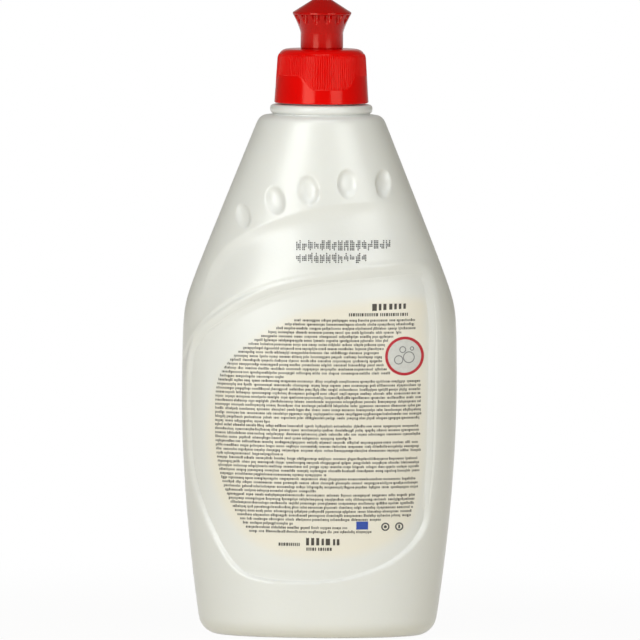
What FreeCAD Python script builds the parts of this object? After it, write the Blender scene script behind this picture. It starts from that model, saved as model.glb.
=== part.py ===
"""Dish soap bottle: a blow-moulded oval bottle with a push-pull screw cap.

Millimetres. +Z is up and the bottle stands on z = 0, centred on the Z axis. The labelled
side faces -Y, and the broad side runs along X. The pieces are the bottle, its back label,
the sealing washer on the neck's rim, the screw closure and the push-pull spout.
"""

import math
import os
import re

import FreeCAD
import Part
import Sketcher

Vector = FreeCAD.Vector

# Driving dimensions, in millimetres and degrees unless the name says turns or count.
SIZES = {
    # bottle body, as half widths and half depths of its oval section
    "wall": 0.9,
    "shelf_level": 168.9,
    "belly_level": 80.0,
    "foot_half_width": 37.75,
    "belly_half_width": 44.75,
    "shelf_half_width": 19.9,
    "side_slope": 0.403,
    "side_round": 1.25,
    "foot_half_depth": 23.2,
    "belly_half_depth": 25.9,
    "shelf_half_depth": 18.6,
    "face_slope": 0.135,
    "face_round": 0.55,
    "foot_curve": 1.8,
    "foot_round": 5.5,
    "shelf_round": 2.0,
    "push_up_rise": 3.5,
    "push_up_drop": 2.5,
    "stand_rim": 3.2,
    # recessed label panel, swept band and finger dimples
    "panel_depth": 1.1,
    "band_depth": 1.2,
    "dimple_half_width": 3.4,
    "dimple_half_height": 4.9,
    "dimple_depth": 1.3,
    "side_land": 5.0,
    "label_thickness": 0.1,
    "label_margin": 1.6,
    # neck finish
    "collar_radius": 15.8,
    "collar_height": 0.5,
    "ring_radius": 16.6,
    "ring_height": 2.9,
    "ring_round": 1.1,
    "neck_radius": 12.1,
    "neck_height": 16.0,
    "bore_radius": 10.6,
    "thread_pitch": 4.0,
    "thread_turns": 1.5,
    "thread_reach": 1.1,
    "thread_root_width": 1.7,
    "thread_crest_width": 0.8,
    "thread_level": 4.8,
    # sealing washer
    "washer_thickness": 1.0,
    "washer_radius": 12.3,
    "washer_hole_radius": 10.7,
    "washer_clearance": 0.1,
    # closure
    "skirt_gap": 0.5,
    "skirt_radius": 15.3,
    "skirt_clearance": 0.25,
    "pocket_drop": 0.8,
    "pocket_taper": 2.0,
    "deck_radius": 14.2,
    "deck_thickness": 1.2,
    "deck_fall": 0.3,
    "deck_round": 3.4,
    "seat_radius": 7.3,
    "chimney_radius": 5.6,
    "chimney_lip": 1.0,
    "channel_radius": 4.4,
    "bead_reach": 0.3,
    "bead_height": 1.2,
    "stem_radius": 1.9,
    "spider_inset": 0.5,
    "spider_height": 3.5,
    "spider_width": 1.2,
    # push-pull spout
    "pull_travel": 5.0,
    "stop_gap": 0.4,
    "spout_gap": 0.3,
    "sleeve_radius": 6.9,
    "sleeve_clearance": 0.1,
    "sleeve_headroom": 0.4,
    "sleeve_lip": 1.5,
    "lip_clearance": 0.12,
    "lip_chamfer": 0.3,
    "flare_level": 4.5,
    "rim_level": 10.7,
    "rim_radius": 9.5,
    "rim_height": 0.7,
    "tip_radius": 3.1,
    "spout_height": 15.5,
    "outlet_clearance": 0.15,
    "outlet_length": 1.8,
    "stem_proud": 0.15,
    "flute_count": 14,
    "flute_radius": 1.25,
    "flute_reach": 9.1,
}

# Each body section: its level as a share of the shelf's, closer together where the side turns.
SECTION_LEVELS = [0.0, 0.06, 0.12, 0.25, 0.37, 0.485, 0.6, 0.655, 0.715, 0.785, 0.855, 0.925, 1.0]

# The panel's outline, as shares of the belly's half width and of the shelf's level.
PANEL_OUTLINE = [
    (0.74, 0.704), (0.44, 0.701), (0.15, 0.693), (-0.15, 0.681), (-0.44, 0.659),
    (-0.73, 0.616), (-0.91, 0.570), (-0.965, 0.500), (-0.965, 0.400), (-0.93, 0.300),
    (-0.80, 0.205), (-0.62, 0.131), (-0.40, 0.107), (0.0, 0.103), (0.30, 0.116),
    (0.58, 0.148), (0.78, 0.205), (0.865, 0.300), (0.890, 0.450), (0.885, 0.590),
    (0.840, 0.675),
]

# The swept band above the panel: its upper crest, its lower crest and its depth, from right to
# left, as shares of the belly's half width, the shelf's level and the band's full depth.
BAND_STATIONS = [
    ((0.64, 0.824), (0.80, 0.714), 0.02),
    ((0.44, 0.834), (0.50, 0.713), 0.60),
    ((0.22, 0.832), (0.22, 0.712), 1.00),
    ((0.00, 0.825), (-0.04, 0.700), 1.00),
    ((-0.22, 0.809), (-0.27, 0.688), 1.00),
    ((-0.45, 0.786), (-0.48, 0.670), 1.00),
    ((-0.65, 0.755), (-0.64, 0.649), 0.90),
    ((-0.78, 0.712), (-0.75, 0.628), 0.60),
    ((-0.86, 0.655), (-0.84, 0.605), 0.02),
]

# Finger dimples above the band: place as shares of the belly's half width and of the shelf's
# level, size against the middle one, and lean in degrees.
DIMPLES = [
    ((-0.560, 0.805), 0.82, 24.0),
    ((-0.327, 0.836), 0.95, 17.0),
    ((-0.087, 0.856), 1.00, 9.0),
    ((0.190, 0.869), 0.97, 3.0),
    ((0.451, 0.869), 0.92, -2.0),
]

doc = FreeCAD.newDocument("DishSoapBottle")
sheet = doc.addObject("Spreadsheet::Sheet", "Sizes")
for row, (alias, size) in enumerate(SIZES.items(), start=1):
    sheet.set(f"A{row}", str(size))
    sheet.setAlias(f"A{row}", alias)
doc.recompute()

ALIAS = re.compile(r"\b(" + "|".join(SIZES) + r")\b")


def sized(formula):
    """A formula in plain size names, as an expression on the sheet."""
    return ALIAS.sub(r"Sizes.\1", str(formula))


def value(formula):
    """The number that a formula gives with the sheet as it stands."""
    return float(sheet.evalExpression(sized(formula)))


def primitive(kind, name, **formulas):
    """A Part object whose properties follow the sheet. A level is its height above z = 0."""
    piece = doc.addObject(kind, name)
    for key, formula in formulas.items():
        path = "Placement.Base.z" if key == "level" else key
        piece.setExpression(path, sized(formula))
    return piece


def joined(name, pieces):
    fusion = doc.addObject("Part::MultiFuse", name)
    fusion.Shapes = pieces
    return fusion


def cut(name, base, tool):
    result = doc.addObject("Part::Cut", name)
    result.Base = base
    result.Tool = tool
    return result


def common(name, base, tool):
    result = doc.addObject("Part::Common", name)
    result.Base = base
    result.Tool = tool
    return result


def mirrored(name, source):
    """The twin of a tool on the bottle's far side, across the XZ plane."""
    twin = doc.addObject("Part::Mirroring", name)
    twin.Source = source
    twin.Normal = Vector(0, 1, 0)
    return twin


# Finish levels, worked out once from the sizes that they stand on.
RING_LEVEL = "shelf_level + collar_height"
NECK_LEVEL = f"({RING_LEVEL} + ring_height)"
RIM_LEVEL = f"({NECK_LEVEL} + neck_height)"
DECK_SEAT = f"({RIM_LEVEL} + washer_thickness)"
DECK_LEVEL = f"({DECK_SEAT} + deck_thickness)"
SPOUT_LEVEL = f"({DECK_LEVEL} + spout_gap)"
THREAD_LEVEL = f"({NECK_LEVEL} + thread_level)"

# The chimney's stop bead stands where the pulled spout's lip meets it, and the rest of the
# chimney stands on the bead.
BEAD_LEVEL = f"({SPOUT_LEVEL} + sleeve_lip + lip_chamfer + pull_travel + stop_gap)"
CHIMNEY_TOP = f"({BEAD_LEVEL} + bead_height + bead_reach + chimney_lip)"

# A thread's root lies inside its wall by this share of its reach, so that the two join.
THREAD_SINK = 0.2


def soft_least(first, second, roundness):
    """The lesser of two formulas, with a rounded corner where they cross."""
    middle = f"(({first}) + ({second})) / 2"
    apart = f"(({first}) - ({second})) / 2"
    return f"({middle} - sqrt(({apart}) ^ 2 + ({roundness}) ^ 2))"


def half_width(level):
    """Half the oval's width: a full belly that narrows in a curve to the foot and in a
    straight taper to the shelf."""
    below = f"max(0; 1 - ({level}) / belly_level) ^ foot_curve"
    belly = f"belly_half_width - (belly_half_width - foot_half_width) * {below}"
    taper = f"shelf_half_width + side_slope * (shelf_level - ({level}))"
    return soft_least(belly, taper, "side_round")


def half_depth(level):
    below = f"max(0; 1 - ({level}) / belly_level) ^ foot_curve"
    belly = f"belly_half_depth - (belly_half_depth - foot_half_depth) * {below}"
    taper = f"shelf_half_depth + face_slope * (shelf_level - ({level}))"
    return soft_least(belly, taper, "face_round")


def oval_loft(name, inset):
    """The body's oval form, moved in by inset all round, on its levels and at both ends."""
    sections = []
    for number, share in enumerate(SECTION_LEVELS):
        level = f"shelf_level * {share}"
        stands_at = level
        if number == 0:
            stands_at = f"({inset})"
        if share == 1.0:
            stands_at = f"shelf_level - ({inset})"
        sections.append(primitive(
            "Part::Ellipse", f"{name}_section_{number}",
            MajorRadius=f"{half_width(level)} - ({inset})",
            MinorRadius=f"{half_depth(level)} - ({inset})",
            level=stands_at))
    form = doc.addObject("Part::Loft", name)
    form.Sections = sections
    form.Solid = True
    form.Ruled = False
    form.MaxDegree = 3
    return form


def end_round(name, form, foot, shelf):
    """Round a loft's foot and shelf edges, found as its lowest and highest closed edges."""
    doc.recompute()
    rims = [(edge.CenterOfMass.z, number) for number, edge in enumerate(form.Shape.Edges, start=1)
            if edge.isClosed()]
    lowest = min(rims)[1]
    highest = max(rims)[1]
    rounded = doc.addObject("Part::Fillet", name)
    rounded.Base = form
    rounded.Edges = [(lowest, foot, foot), (highest, shelf, shelf)]
    return rounded


def front_point(x, z, depth=0.0):
    """A point of the labelled face, moved straight back into the body by depth."""
    reach = max(0.0, 1.0 - (x / value(half_width(z))) ** 2)
    return Vector(x, -value(half_depth(z)) * math.sqrt(reach) + depth, z)


def front_normal(x, z):
    """The outward direction of the labelled face at x, z."""
    step = 0.5
    across = front_point(x + step, z) - front_point(x - step, z)
    upward = front_point(x, z + step) - front_point(x, z - step)
    return across.cross(upward).normalize()


def panel_outline(name, outset):
    """The panel's edge as one closed curve, moved outward by outset. It stands off the middle
    plane by the plain land that is left at each side of the bottle, less the same outset, so
    that the cavity keeps its wall behind the panel's ends too."""
    wide = value("belly_half_width")
    tall = value("shelf_level")
    curve = Part.BSplineCurve()
    curve.interpolate([Vector(fx * wide, 0, fz * tall) for fx, fz in PANEL_OUTLINE], PeriodicFlag=True)
    if outset:
        span = curve.LastParameter - curve.FirstParameter
        count = 2 * len(PANEL_OUTLINE)
        places = [curve.FirstParameter + span * number / count for number in range(count)]
        moved = [curve.value(place) + Vector(0, 1, 0).cross(curve.tangent(place)[0]) * outset
                 for place in places]
        curve = Part.BSplineCurve()
        curve.interpolate(moved, PeriodicFlag=True)
    outline = doc.addObject("Part::Feature", name)
    outline.Shape = Part.Wire(curve.toShape())
    outline.Placement.Base = Vector(0, outset - value("side_land"), 0)
    return outline


def panel_prism(name, outset):
    """The panel's outline carried forward from the side lands past the bottle's face."""
    prism = primitive("Part::Extrusion", name, LengthFwd="belly_half_depth * 1.5")
    prism.Base = panel_outline(f"{name}_outline", outset)
    prism.DirMode = "Custom"
    prism.Dir = Vector(0, -1, 0)
    prism.Solid = True
    return prism


def band_wedge(name, wall):
    """What the swept band takes away: from a step under its upper crest, the floor ramps out
    to meet the face at its lower crest. With a wall it is the same tool for the cavity."""
    wide = value("belly_half_width")
    tall = value("shelf_level")
    deep = value("band_depth")
    clear_of_face = -1.5 * value("belly_half_depth")
    sections = []
    for (upper_x, upper_z), (lower_x, lower_z), share in BAND_STATIONS:
        top = front_point(upper_x * wide, upper_z * tall + wall, deep * share + wall)
        low = front_point(lower_x * wide, lower_z * tall, wall)
        sections.append(Part.makePolygon([
            Vector(top.x, clear_of_face, top.z), top, low,
            Vector(low.x, clear_of_face, low.z), Vector(top.x, clear_of_face, top.z)]))
    wedge = doc.addObject("Part::Feature", name)
    wedge.Shape = Part.makeLoft(sections, True, False, False, 3)
    return wedge


def dimple_cutters(name, wall):
    """One ellipsoid for each finger dimple, set on the face and leaning with the band."""
    wide = value("belly_half_width")
    tall = value("shelf_level")
    cutters = []
    for number, ((across, up), share, lean) in enumerate(DIMPLES, start=1):
        place = front_point(across * wide, up * tall)
        outward = front_normal(across * wide, up * tall)
        cutter = primitive(
            "Part::Ellipsoid", f"{name}_{number}",
            Radius1=f"dimple_half_height * {share} + {wall}",
            Radius2=f"dimple_half_width * {share} + {wall}",
            Radius3=f"dimple_depth * {share} + {wall}")
        facing = FreeCAD.Rotation(Vector(), outward * -1, Vector(0, 0, 1), "YZX")
        leaning = FreeCAD.Rotation(outward, lean)
        cutter.Placement = FreeCAD.Placement(place, leaning.multiply(facing))
        cutters.append(cutter)
    return cutters


def face_relief(name, wall, floor_form):
    """Everything that is pressed into one face: panel, band and dimples, and its twin on the
    far side."""
    panel = cut(f"{name}_panel", panel_prism(f"{name}_panel_prism", wall), floor_form)
    tools = [panel, band_wedge(f"{name}_band", wall)] + dimple_cutters(f"{name}_dimple", wall)
    twins = [mirrored(f"{tool.Name}_far", tool) for tool in tools]
    return tools + twins


def cut_all(name, base, tools):
    """Cut a set of tools that stand clear of each other in one step."""
    together = doc.addObject("Part::Compound", f"{name}_tools")
    together.Links = tools
    return cut(name, base, together)


def push_up(name, wall):
    """The hollow of the base inside its stand rim."""
    drop = "push_up_drop"
    rise = "push_up_rise"
    footprint = f"sqrt(1 - ({drop} / ({drop} + {rise})) ^ 2)"
    dome = primitive(
        "Part::Ellipsoid", name,
        Radius1=f"{drop} + {rise} + {wall}",
        Radius2=f"(foot_half_width - foot_round - stand_rim) / {footprint} + {wall}",
        Radius3=f"(foot_half_depth - foot_round - stand_rim) / {footprint} + {wall}",
        level=f"-{drop}")
    return dome


def origin_plane(body, role):
    return [plane for plane in body.Origin.OriginFeatures if plane.Role == role][0]


def profile_sketch(body, name, outline, plane="XZ_Plane"):
    """A closed profile of lines and arcs, with every corner's place bound to the sheet.

    Each corner is a pair of formulas. A third entry makes the run to the next corner an arc:
    its radius as a formula, and 1 or -1 for a bulge to the left or right of the way there.
    """
    sketch = body.newObject("Sketcher::SketchObject", name)
    sketch.AttachmentSupport = (origin_plane(body, plane), [""])
    sketch.MapMode = "FlatFace"
    corners = [Vector(value(corner[0]), value(corner[1]), 0) for corner in outline]
    starts = []
    ends = []
    for number, corner in enumerate(outline):
        start = corners[number]
        end = corners[(number + 1) % len(corners)]
        if len(corner) == 4:
            radius = value(corner[2])
            half_run = (end - start) * 0.5
            rise = radius - math.sqrt(radius ** 2 - half_run.Length ** 2)
            side = Vector(-half_run.y, half_run.x, 0).normalize() * corner[3]
            run = sketch.addGeometry(Part.Arc(start, start + half_run + side * rise, end), False)
        else:
            run = sketch.addGeometry(Part.LineSegment(start, end), False)
        begins_here = sketch.getPoint(run, 1).distanceToPoint(start) < 1e-6
        starts.append((run, 1 if begins_here else 2))
        ends.append((run, 2 if begins_here else 1))
    for number, corner in enumerate(outline):
        here = starts[number]
        sketch.addConstraint(Sketcher.Constraint("Coincident", *ends[number - 1], *here))
        for kind, formula, place in (("DistanceX", corner[0], corners[number].x),
                                     ("DistanceY", corner[1], corners[number].y)):
            if abs(place) < 1e-9:
                axis = -2 if kind == "DistanceX" else -1
                sketch.addConstraint(Sketcher.Constraint("PointOnObject", *here, axis))
                continue
            fixed = sketch.addConstraint(Sketcher.Constraint(kind, -1, 1, *here, place))
            sketch.setExpression(f"Constraints[{fixed}]", sized(formula))
        if len(corner) == 4:
            fixed = sketch.addConstraint(
                Sketcher.Constraint("Radius", starts[number][0], value(corner[2])))
            sketch.setExpression(f"Constraints[{fixed}]", sized(corner[2]))
    return sketch


def turned(body, name, sketch, groove=False):
    """Turn a profile round the Z axis, to add it to the body or to cut it out."""
    feature = body.newObject("PartDesign::Groove" if groove else "PartDesign::Revolution", name)
    feature.Profile = sketch
    feature.ReferenceAxis = (sketch, ["V_Axis"])
    feature.Angle = 360.0
    body.Tip = feature
    return feature


def thread(body, name, root_radius, reach, level):
    """A screw thread of tapered section on a wall of root_radius, standing out by reach, or
    inward where reach is negative, with its middle at level where it starts."""
    root = f"({root_radius} - ({reach}) * {THREAD_SINK})"
    crest = f"({root_radius} + ({reach}))"
    sketch = profile_sketch(body, f"{name}_section", [
        (root, f"{level} - thread_root_width / 2"),
        (crest, f"{level} - thread_crest_width / 2"),
        (crest, f"{level} + thread_crest_width / 2"),
        (root, f"{level} + thread_root_width / 2"),
    ])
    helix = body.newObject("PartDesign::AdditiveHelix", name)
    helix.Profile = sketch
    helix.ReferenceAxis = (sketch, ["V_Axis"])
    helix.setExpression("Pitch", sized("thread_pitch"))
    helix.setExpression("Height", sized("thread_pitch * thread_turns"))
    body.Tip = helix
    doc.recompute()
    return helix


def round_pattern(body, name, features, count):
    """Repeat features evenly round the Z axis."""
    pattern = body.newObject("PartDesign::PolarPattern", name)
    pattern.Originals = features
    pattern.Axis = (origin_plane(body, "Z_Axis"), [""])
    pattern.Angle = 360.0
    pattern.setExpression("Occurrences", sized(count))
    body.Tip = pattern
    return pattern


def make_threaded_neck():
    """The neck's outside as a plain post with its screw thread; the bore is cut later."""
    body = doc.addObject("PartDesign::Body", "threaded_neck")
    post = [("0", f"{NECK_LEVEL} - wall"), ("neck_radius", f"{NECK_LEVEL} - wall"),
            ("neck_radius", RIM_LEVEL), ("0", RIM_LEVEL)]
    turned(body, "neck_post", profile_sketch(body, "neck_section", post))
    doc.recompute()
    thread(body, "neck_thread", "neck_radius", "thread_reach", THREAD_LEVEL)
    return body


def make_bottle():
    """Blow-moulded bottle: oval body, neck ring and neck, pressed faces and an even wall."""
    wall = value("wall")
    outer = end_round("body_rounded", oval_loft("body_form", "0"),
                      value("foot_round"), value("shelf_round"))
    collar = primitive("Part::Cylinder", "collar", Radius="collar_radius",
                       Height=f"{NECK_LEVEL} - shelf_level + wall", level="shelf_level - wall")
    ring_blank = primitive("Part::Cylinder", "ring_blank", Radius="ring_radius",
                           Height="ring_height", level=RING_LEVEL)
    doc.recompute()
    ring = doc.addObject("Part::Fillet", "neck_ring")
    ring.Base = ring_blank
    rim_round = value("ring_round")
    ring.Edges = [(number, rim_round, rim_round)
                  for number, edge in enumerate(ring_blank.Shape.Edges, start=1) if edge.isClosed()]
    neck = make_threaded_neck()
    outside = cut_all("outside", joined("outside_blank", [outer, collar, ring, neck]),
                       face_relief("face", 0.0, oval_loft("panel_floor", "panel_depth"))
                       + [push_up("push_up", 0.0)])

    inner = end_round("cavity_rounded", oval_loft("cavity_form", "wall"),
                      value("foot_round - wall"), value("shelf_round - wall"))
    body_room = cut_all("body_room", inner,
                         face_relief("inner_face", wall, oval_loft("panel_back", "panel_depth + wall"))
                         + [push_up("inner_push_up", wall)])
    ring_room = primitive("Part::Cylinder", "ring_room", Radius="collar_radius - wall",
                          Height=f"{NECK_LEVEL} - shelf_level + wall", level="shelf_level - 2 * wall")
    bore = primitive("Part::Cylinder", "bore", Radius="bore_radius",
                     Height=f"{RIM_LEVEL} - shelf_level + 3 * wall", level="shelf_level - wall")
    room = joined("room", [body_room, ring_room, bore])
    return cut("bottle", outside, room)


def make_back_label():
    """Thin film label, lying on the floor of the front panel inside its edge."""
    outline = panel_prism("label_prism", -value("label_margin"))
    film = common("label_film", outline, oval_loft("label_front", "panel_depth - label_thickness"))
    return cut("back_label", film, doc.getObject("panel_floor"))


def make_sealing_washer():
    """Foam washer between the neck's rim and the closure's deck."""
    body = doc.addObject("PartDesign::Body", "sealing_washer")
    ring = [("washer_hole_radius", RIM_LEVEL), ("washer_radius", RIM_LEVEL),
            ("washer_radius", DECK_SEAT), ("washer_hole_radius", DECK_SEAT)]
    turned(body, "washer_ring", profile_sketch(body, "washer_section", ring))
    return body


def make_closure():
    """Screw closure: skirt, deck and chimney, with a plug stem held on a three-arm spider."""
    body = doc.addObject("PartDesign::Body", "closure")
    skirt_foot = f"({NECK_LEVEL} + skirt_gap)"
    bore = "(neck_radius + thread_reach + skirt_clearance)"
    pocket = "(washer_radius + washer_clearance)"
    shell = [
        (bore, skirt_foot),
        ("skirt_radius", skirt_foot),
        ("deck_radius", f"{DECK_LEVEL} - deck_fall"),
        ("seat_radius", DECK_LEVEL),
        ("chimney_radius", DECK_LEVEL),
        ("chimney_radius", f"{BEAD_LEVEL} - bead_reach"),
        ("chimney_radius + bead_reach", BEAD_LEVEL),
        ("chimney_radius + bead_reach", f"{BEAD_LEVEL} + bead_height"),
        ("chimney_radius", f"{BEAD_LEVEL} + bead_height + bead_reach"),
        ("chimney_radius", CHIMNEY_TOP),
        ("channel_radius", CHIMNEY_TOP),
        ("channel_radius", DECK_SEAT),
        (pocket, DECK_SEAT),
        (pocket, f"{RIM_LEVEL} - pocket_drop"),
        (bore, f"{RIM_LEVEL} - pocket_drop - pocket_taper"),
    ]
    turned_shell = turned(body, "closure_shell", profile_sketch(body, "closure_section", shell))
    doc.recompute()
    corner = [f"Edge{number}" for number, edge in enumerate(turned_shell.Shape.Edges, start=1)
              if isinstance(edge.Curve, Part.Circle)
              and abs(edge.Curve.Radius - value("deck_radius")) < 1e-4]
    shoulder = body.newObject("PartDesign::Fillet", "deck_corner")
    shoulder.Base = (turned_shell, corner)
    shoulder.setExpression("Radius", sized("deck_round"))
    body.Tip = shoulder
    doc.recompute()
    thread(body, "closure_thread", bore, "-(thread_reach)", f"{THREAD_LEVEL} - thread_pitch / 2")

    spider_top = f"({CHIMNEY_TOP} - spider_inset)"
    spider_foot = f"({spider_top} - spider_height)"
    arm = [("stem_radius * 0.3", spider_foot), ("(chimney_radius + channel_radius) / 2", spider_foot),
           ("(chimney_radius + channel_radius) / 2", spider_top), ("stem_radius * 0.3", spider_top)]
    spider_arm = body.newObject("PartDesign::Pad", "spider_arm")
    spider_arm.Profile = profile_sketch(body, "spider_arm_section", arm)
    spider_arm.setExpression("Length", sized("spider_width"))
    spider_arm.Midplane = True
    body.Tip = spider_arm
    doc.recompute()
    round_pattern(body, "spider", [spider_arm], "3")
    doc.recompute()
    stem_top = f"({SPOUT_LEVEL} + spout_height + stem_proud)"
    stem = [("0", spider_foot), ("stem_radius", spider_foot), ("stem_radius", stem_top), ("0", stem_top)]
    turned(body, "plug_stem", profile_sketch(body, "stem_section", stem))
    return body


def make_spout():
    """Push-pull spout: a sleeve on the chimney, a flare to a broad rim and a coned top with
    the outlet that the stem plugs."""
    body = doc.addObject("PartDesign::Body", "spout")
    bead_radius = "(chimney_radius + bead_reach)"
    sleeve_bore = f"({bead_radius} + sleeve_clearance)"
    lip_bore = "(chimney_radius + lip_clearance)"
    lip_top = f"({SPOUT_LEVEL} + sleeve_lip)"
    bore_top = f"({CHIMNEY_TOP} + sleeve_headroom)"
    outlet = "(stem_radius + outlet_clearance)"
    flare_foot = f"({SPOUT_LEVEL} + flare_level)"
    rim_foot = f"({SPOUT_LEVEL} + rim_level)"
    rim_top = f"({SPOUT_LEVEL} + rim_level + rim_height)"
    tip = f"({SPOUT_LEVEL} + spout_height)"
    flare_rise = "(rim_level - flare_level)"
    flare_reach = "(rim_radius - sleeve_radius)"
    flare_round = f"({flare_rise} ^ 2 + {flare_reach} ^ 2) / (2 * {flare_reach})"
    section = [
        (lip_bore, SPOUT_LEVEL),
        ("sleeve_radius", SPOUT_LEVEL),
        ("sleeve_radius", flare_foot, flare_round, 1),
        ("rim_radius", rim_foot),
        ("rim_radius", rim_top),
        ("tip_radius", tip),
        (outlet, tip),
        (outlet, f"{tip} - outlet_length"),
        (sleeve_bore, bore_top),
        (sleeve_bore, f"{lip_top} + lip_chamfer"),
        (lip_bore, lip_top),
    ]
    turned(body, "spout_shell", profile_sketch(body, "spout_section", section))
    doc.recompute()
    sketch = body.newObject("Sketcher::SketchObject", "flute_section")
    sketch.AttachmentSupport = (origin_plane(body, "XY_Plane"), [""])
    sketch.MapMode = "FlatFace"
    sketch.setExpression("AttachmentOffset.Base.z", sized(rim_foot))
    circle = sketch.addGeometry(
        Part.Circle(Vector(value("flute_reach"), 0, 0), Vector(0, 0, 1), value("flute_radius")), False)
    sketch.addConstraint(Sketcher.Constraint("PointOnObject", circle, 3, -1))
    across = sketch.addConstraint(
        Sketcher.Constraint("DistanceX", -1, 1, circle, 3, value("flute_reach")))
    sketch.setExpression(f"Constraints[{across}]", sized("flute_reach"))
    size = sketch.addConstraint(Sketcher.Constraint("Radius", circle, value("flute_radius")))
    sketch.setExpression(f"Constraints[{size}]", sized("flute_radius"))
    flute = body.newObject("PartDesign::Pocket", "flute")
    flute.Profile = sketch
    flute.setExpression("Length", sized("rim_level - flare_level"))
    body.Tip = flute
    doc.recompute()
    round_pattern(body, "flutes", [flute], "flute_count")
    return body


def check(pieces):
    """Stop if any feature failed or any sub-part is not one sound shape."""
    for item in doc.Objects:
        if "Invalid" in item.State or "Error" in item.State:
            raise RuntimeError(f"{item.Name} did not build: {item.State}")
    for piece in pieces:
        if piece.Shape.isNull() or not piece.Shape.isValid() or len(piece.Shape.Solids) != 1:
            raise RuntimeError(f"{piece.Label} is not one sound solid")


def write(pieces):
    os.makedirs("parts", exist_ok=True)
    for piece in pieces:
        piece.Shape.exportStep(f"parts/{piece.Label}.step")
        grams = piece.Shape.Volume / 1000.0
        print(f"{piece.Label}: {grams:.2f} cm3, {len(piece.Shape.Faces)} faces")


pieces = [make_bottle(), make_back_label(), make_sealing_washer(), make_closure(), make_spout()]
doc.recompute()
check(pieces)
write(pieces)
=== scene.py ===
"""Dish soap bottle: the fine form and finish of its pieces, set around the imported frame.

Run as a script. Inside the mesh code a length is in millimetres in the frame's axes: +Z up and
the labelled face towards -Y. A finished mesh is written in metres.
"""

import math
import random

import bpy
import numpy as np
from mathutils import Matrix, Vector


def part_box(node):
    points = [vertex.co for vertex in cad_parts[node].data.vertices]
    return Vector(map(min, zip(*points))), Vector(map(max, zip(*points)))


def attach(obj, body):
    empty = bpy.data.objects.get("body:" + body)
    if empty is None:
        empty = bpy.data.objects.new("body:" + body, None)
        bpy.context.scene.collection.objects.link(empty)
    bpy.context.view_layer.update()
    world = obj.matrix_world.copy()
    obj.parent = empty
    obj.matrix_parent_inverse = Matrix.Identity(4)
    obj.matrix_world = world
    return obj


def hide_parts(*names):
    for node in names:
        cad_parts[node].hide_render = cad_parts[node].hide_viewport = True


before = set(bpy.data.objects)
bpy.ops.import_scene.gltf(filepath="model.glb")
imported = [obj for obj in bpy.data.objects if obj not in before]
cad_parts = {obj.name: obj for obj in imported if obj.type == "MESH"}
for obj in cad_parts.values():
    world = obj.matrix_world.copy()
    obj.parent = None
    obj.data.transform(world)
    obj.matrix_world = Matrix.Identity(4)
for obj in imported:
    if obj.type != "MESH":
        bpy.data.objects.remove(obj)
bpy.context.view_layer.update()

bl_info = {
    "name": "Dish soap bottle",
    "version": (1, 0, 0),
    "blender": (4, 5, 0),
    "location": "3D View > Sidebar > Soap bottle",
    "description": "Builds the pieces, finishes and studio of a dish soap bottle around its frame",
    "category": "Object",
}

MM = 0.001


def node_box(node):
    """A node's lowest and highest corners, in millimetres."""
    low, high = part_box(node)
    return np.array(low) / MM, np.array(high) / MM


# Driving sizes, read from the frame.
BELLY_HALF_WIDTH, BELLY_HALF_DEPTH, RIM_LEVEL = node_box("bottle")[1]
SKIRT_RADIUS = node_box("closure")[1][0]
SKIRT_FOOT = node_box("closure")[0][2]
STEM_TOP = node_box("closure")[1][2]
SPOUT_FOOT = node_box("spout")[0][2]
SPOUT_TIP = node_box("spout")[1][2]
SPOUT_RIM_RADIUS = node_box("spout")[1][0]
DECK_THICKNESS = 1.2
DECK_LEVEL = node_box("sealing_washer")[1][2] + DECK_THICKNESS

# Neck finish.
NECK_HEIGHT = 16.0
NECK_LEVEL = RIM_LEVEL - NECK_HEIGHT
NECK_RADIUS = 12.1
BORE_RADIUS = 10.6
RING_RADIUS = 16.6
RING_HEIGHT = 2.9
RING_ROUND = 1.1
COLLAR_RADIUS = 15.8
COLLAR_HEIGHT = 0.5
SHELF_LEVEL = NECK_LEVEL - RING_HEIGHT - COLLAR_HEIGHT
THREAD_PITCH = 4.0
THREAD_TURNS = 1.5
THREAD_REACH = 1.1
THREAD_ROOT_WIDTH = 1.7
THREAD_CREST_WIDTH = 0.8
THREAD_LEVEL = NECK_LEVEL + 4.8
THREAD_SINK = 0.2
THREAD_STEPS = 72
THREAD_RUN_IN = 12.0

# Body section: half widths and half depths of its oval, level by level, and its base and wall.
BELLY_LEVEL = 80.0
FOOT_HALF_WIDTH = 37.75
SHELF_HALF_WIDTH = 19.9
SIDE_SLOPE = 0.403
SIDE_ROUND = 1.25
FOOT_HALF_DEPTH = 23.2
SHELF_HALF_DEPTH = 18.6
FACE_SLOPE = 0.135
FACE_ROUND = 0.55
FOOT_CURVE = 1.8
FOOT_ROUND = 5.5
SHELF_ROUND = 2.0
PUSH_UP_RISE = 3.5
PUSH_UP_DROP = 2.5
STAND_RIM = 3.2
WALL = 0.9
RELIEF_WALL = 2.3
RELIEF_FADE = 4.0
SEAM_SPREAD = 0.22
INSIDE_TOP = 163.0

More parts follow.
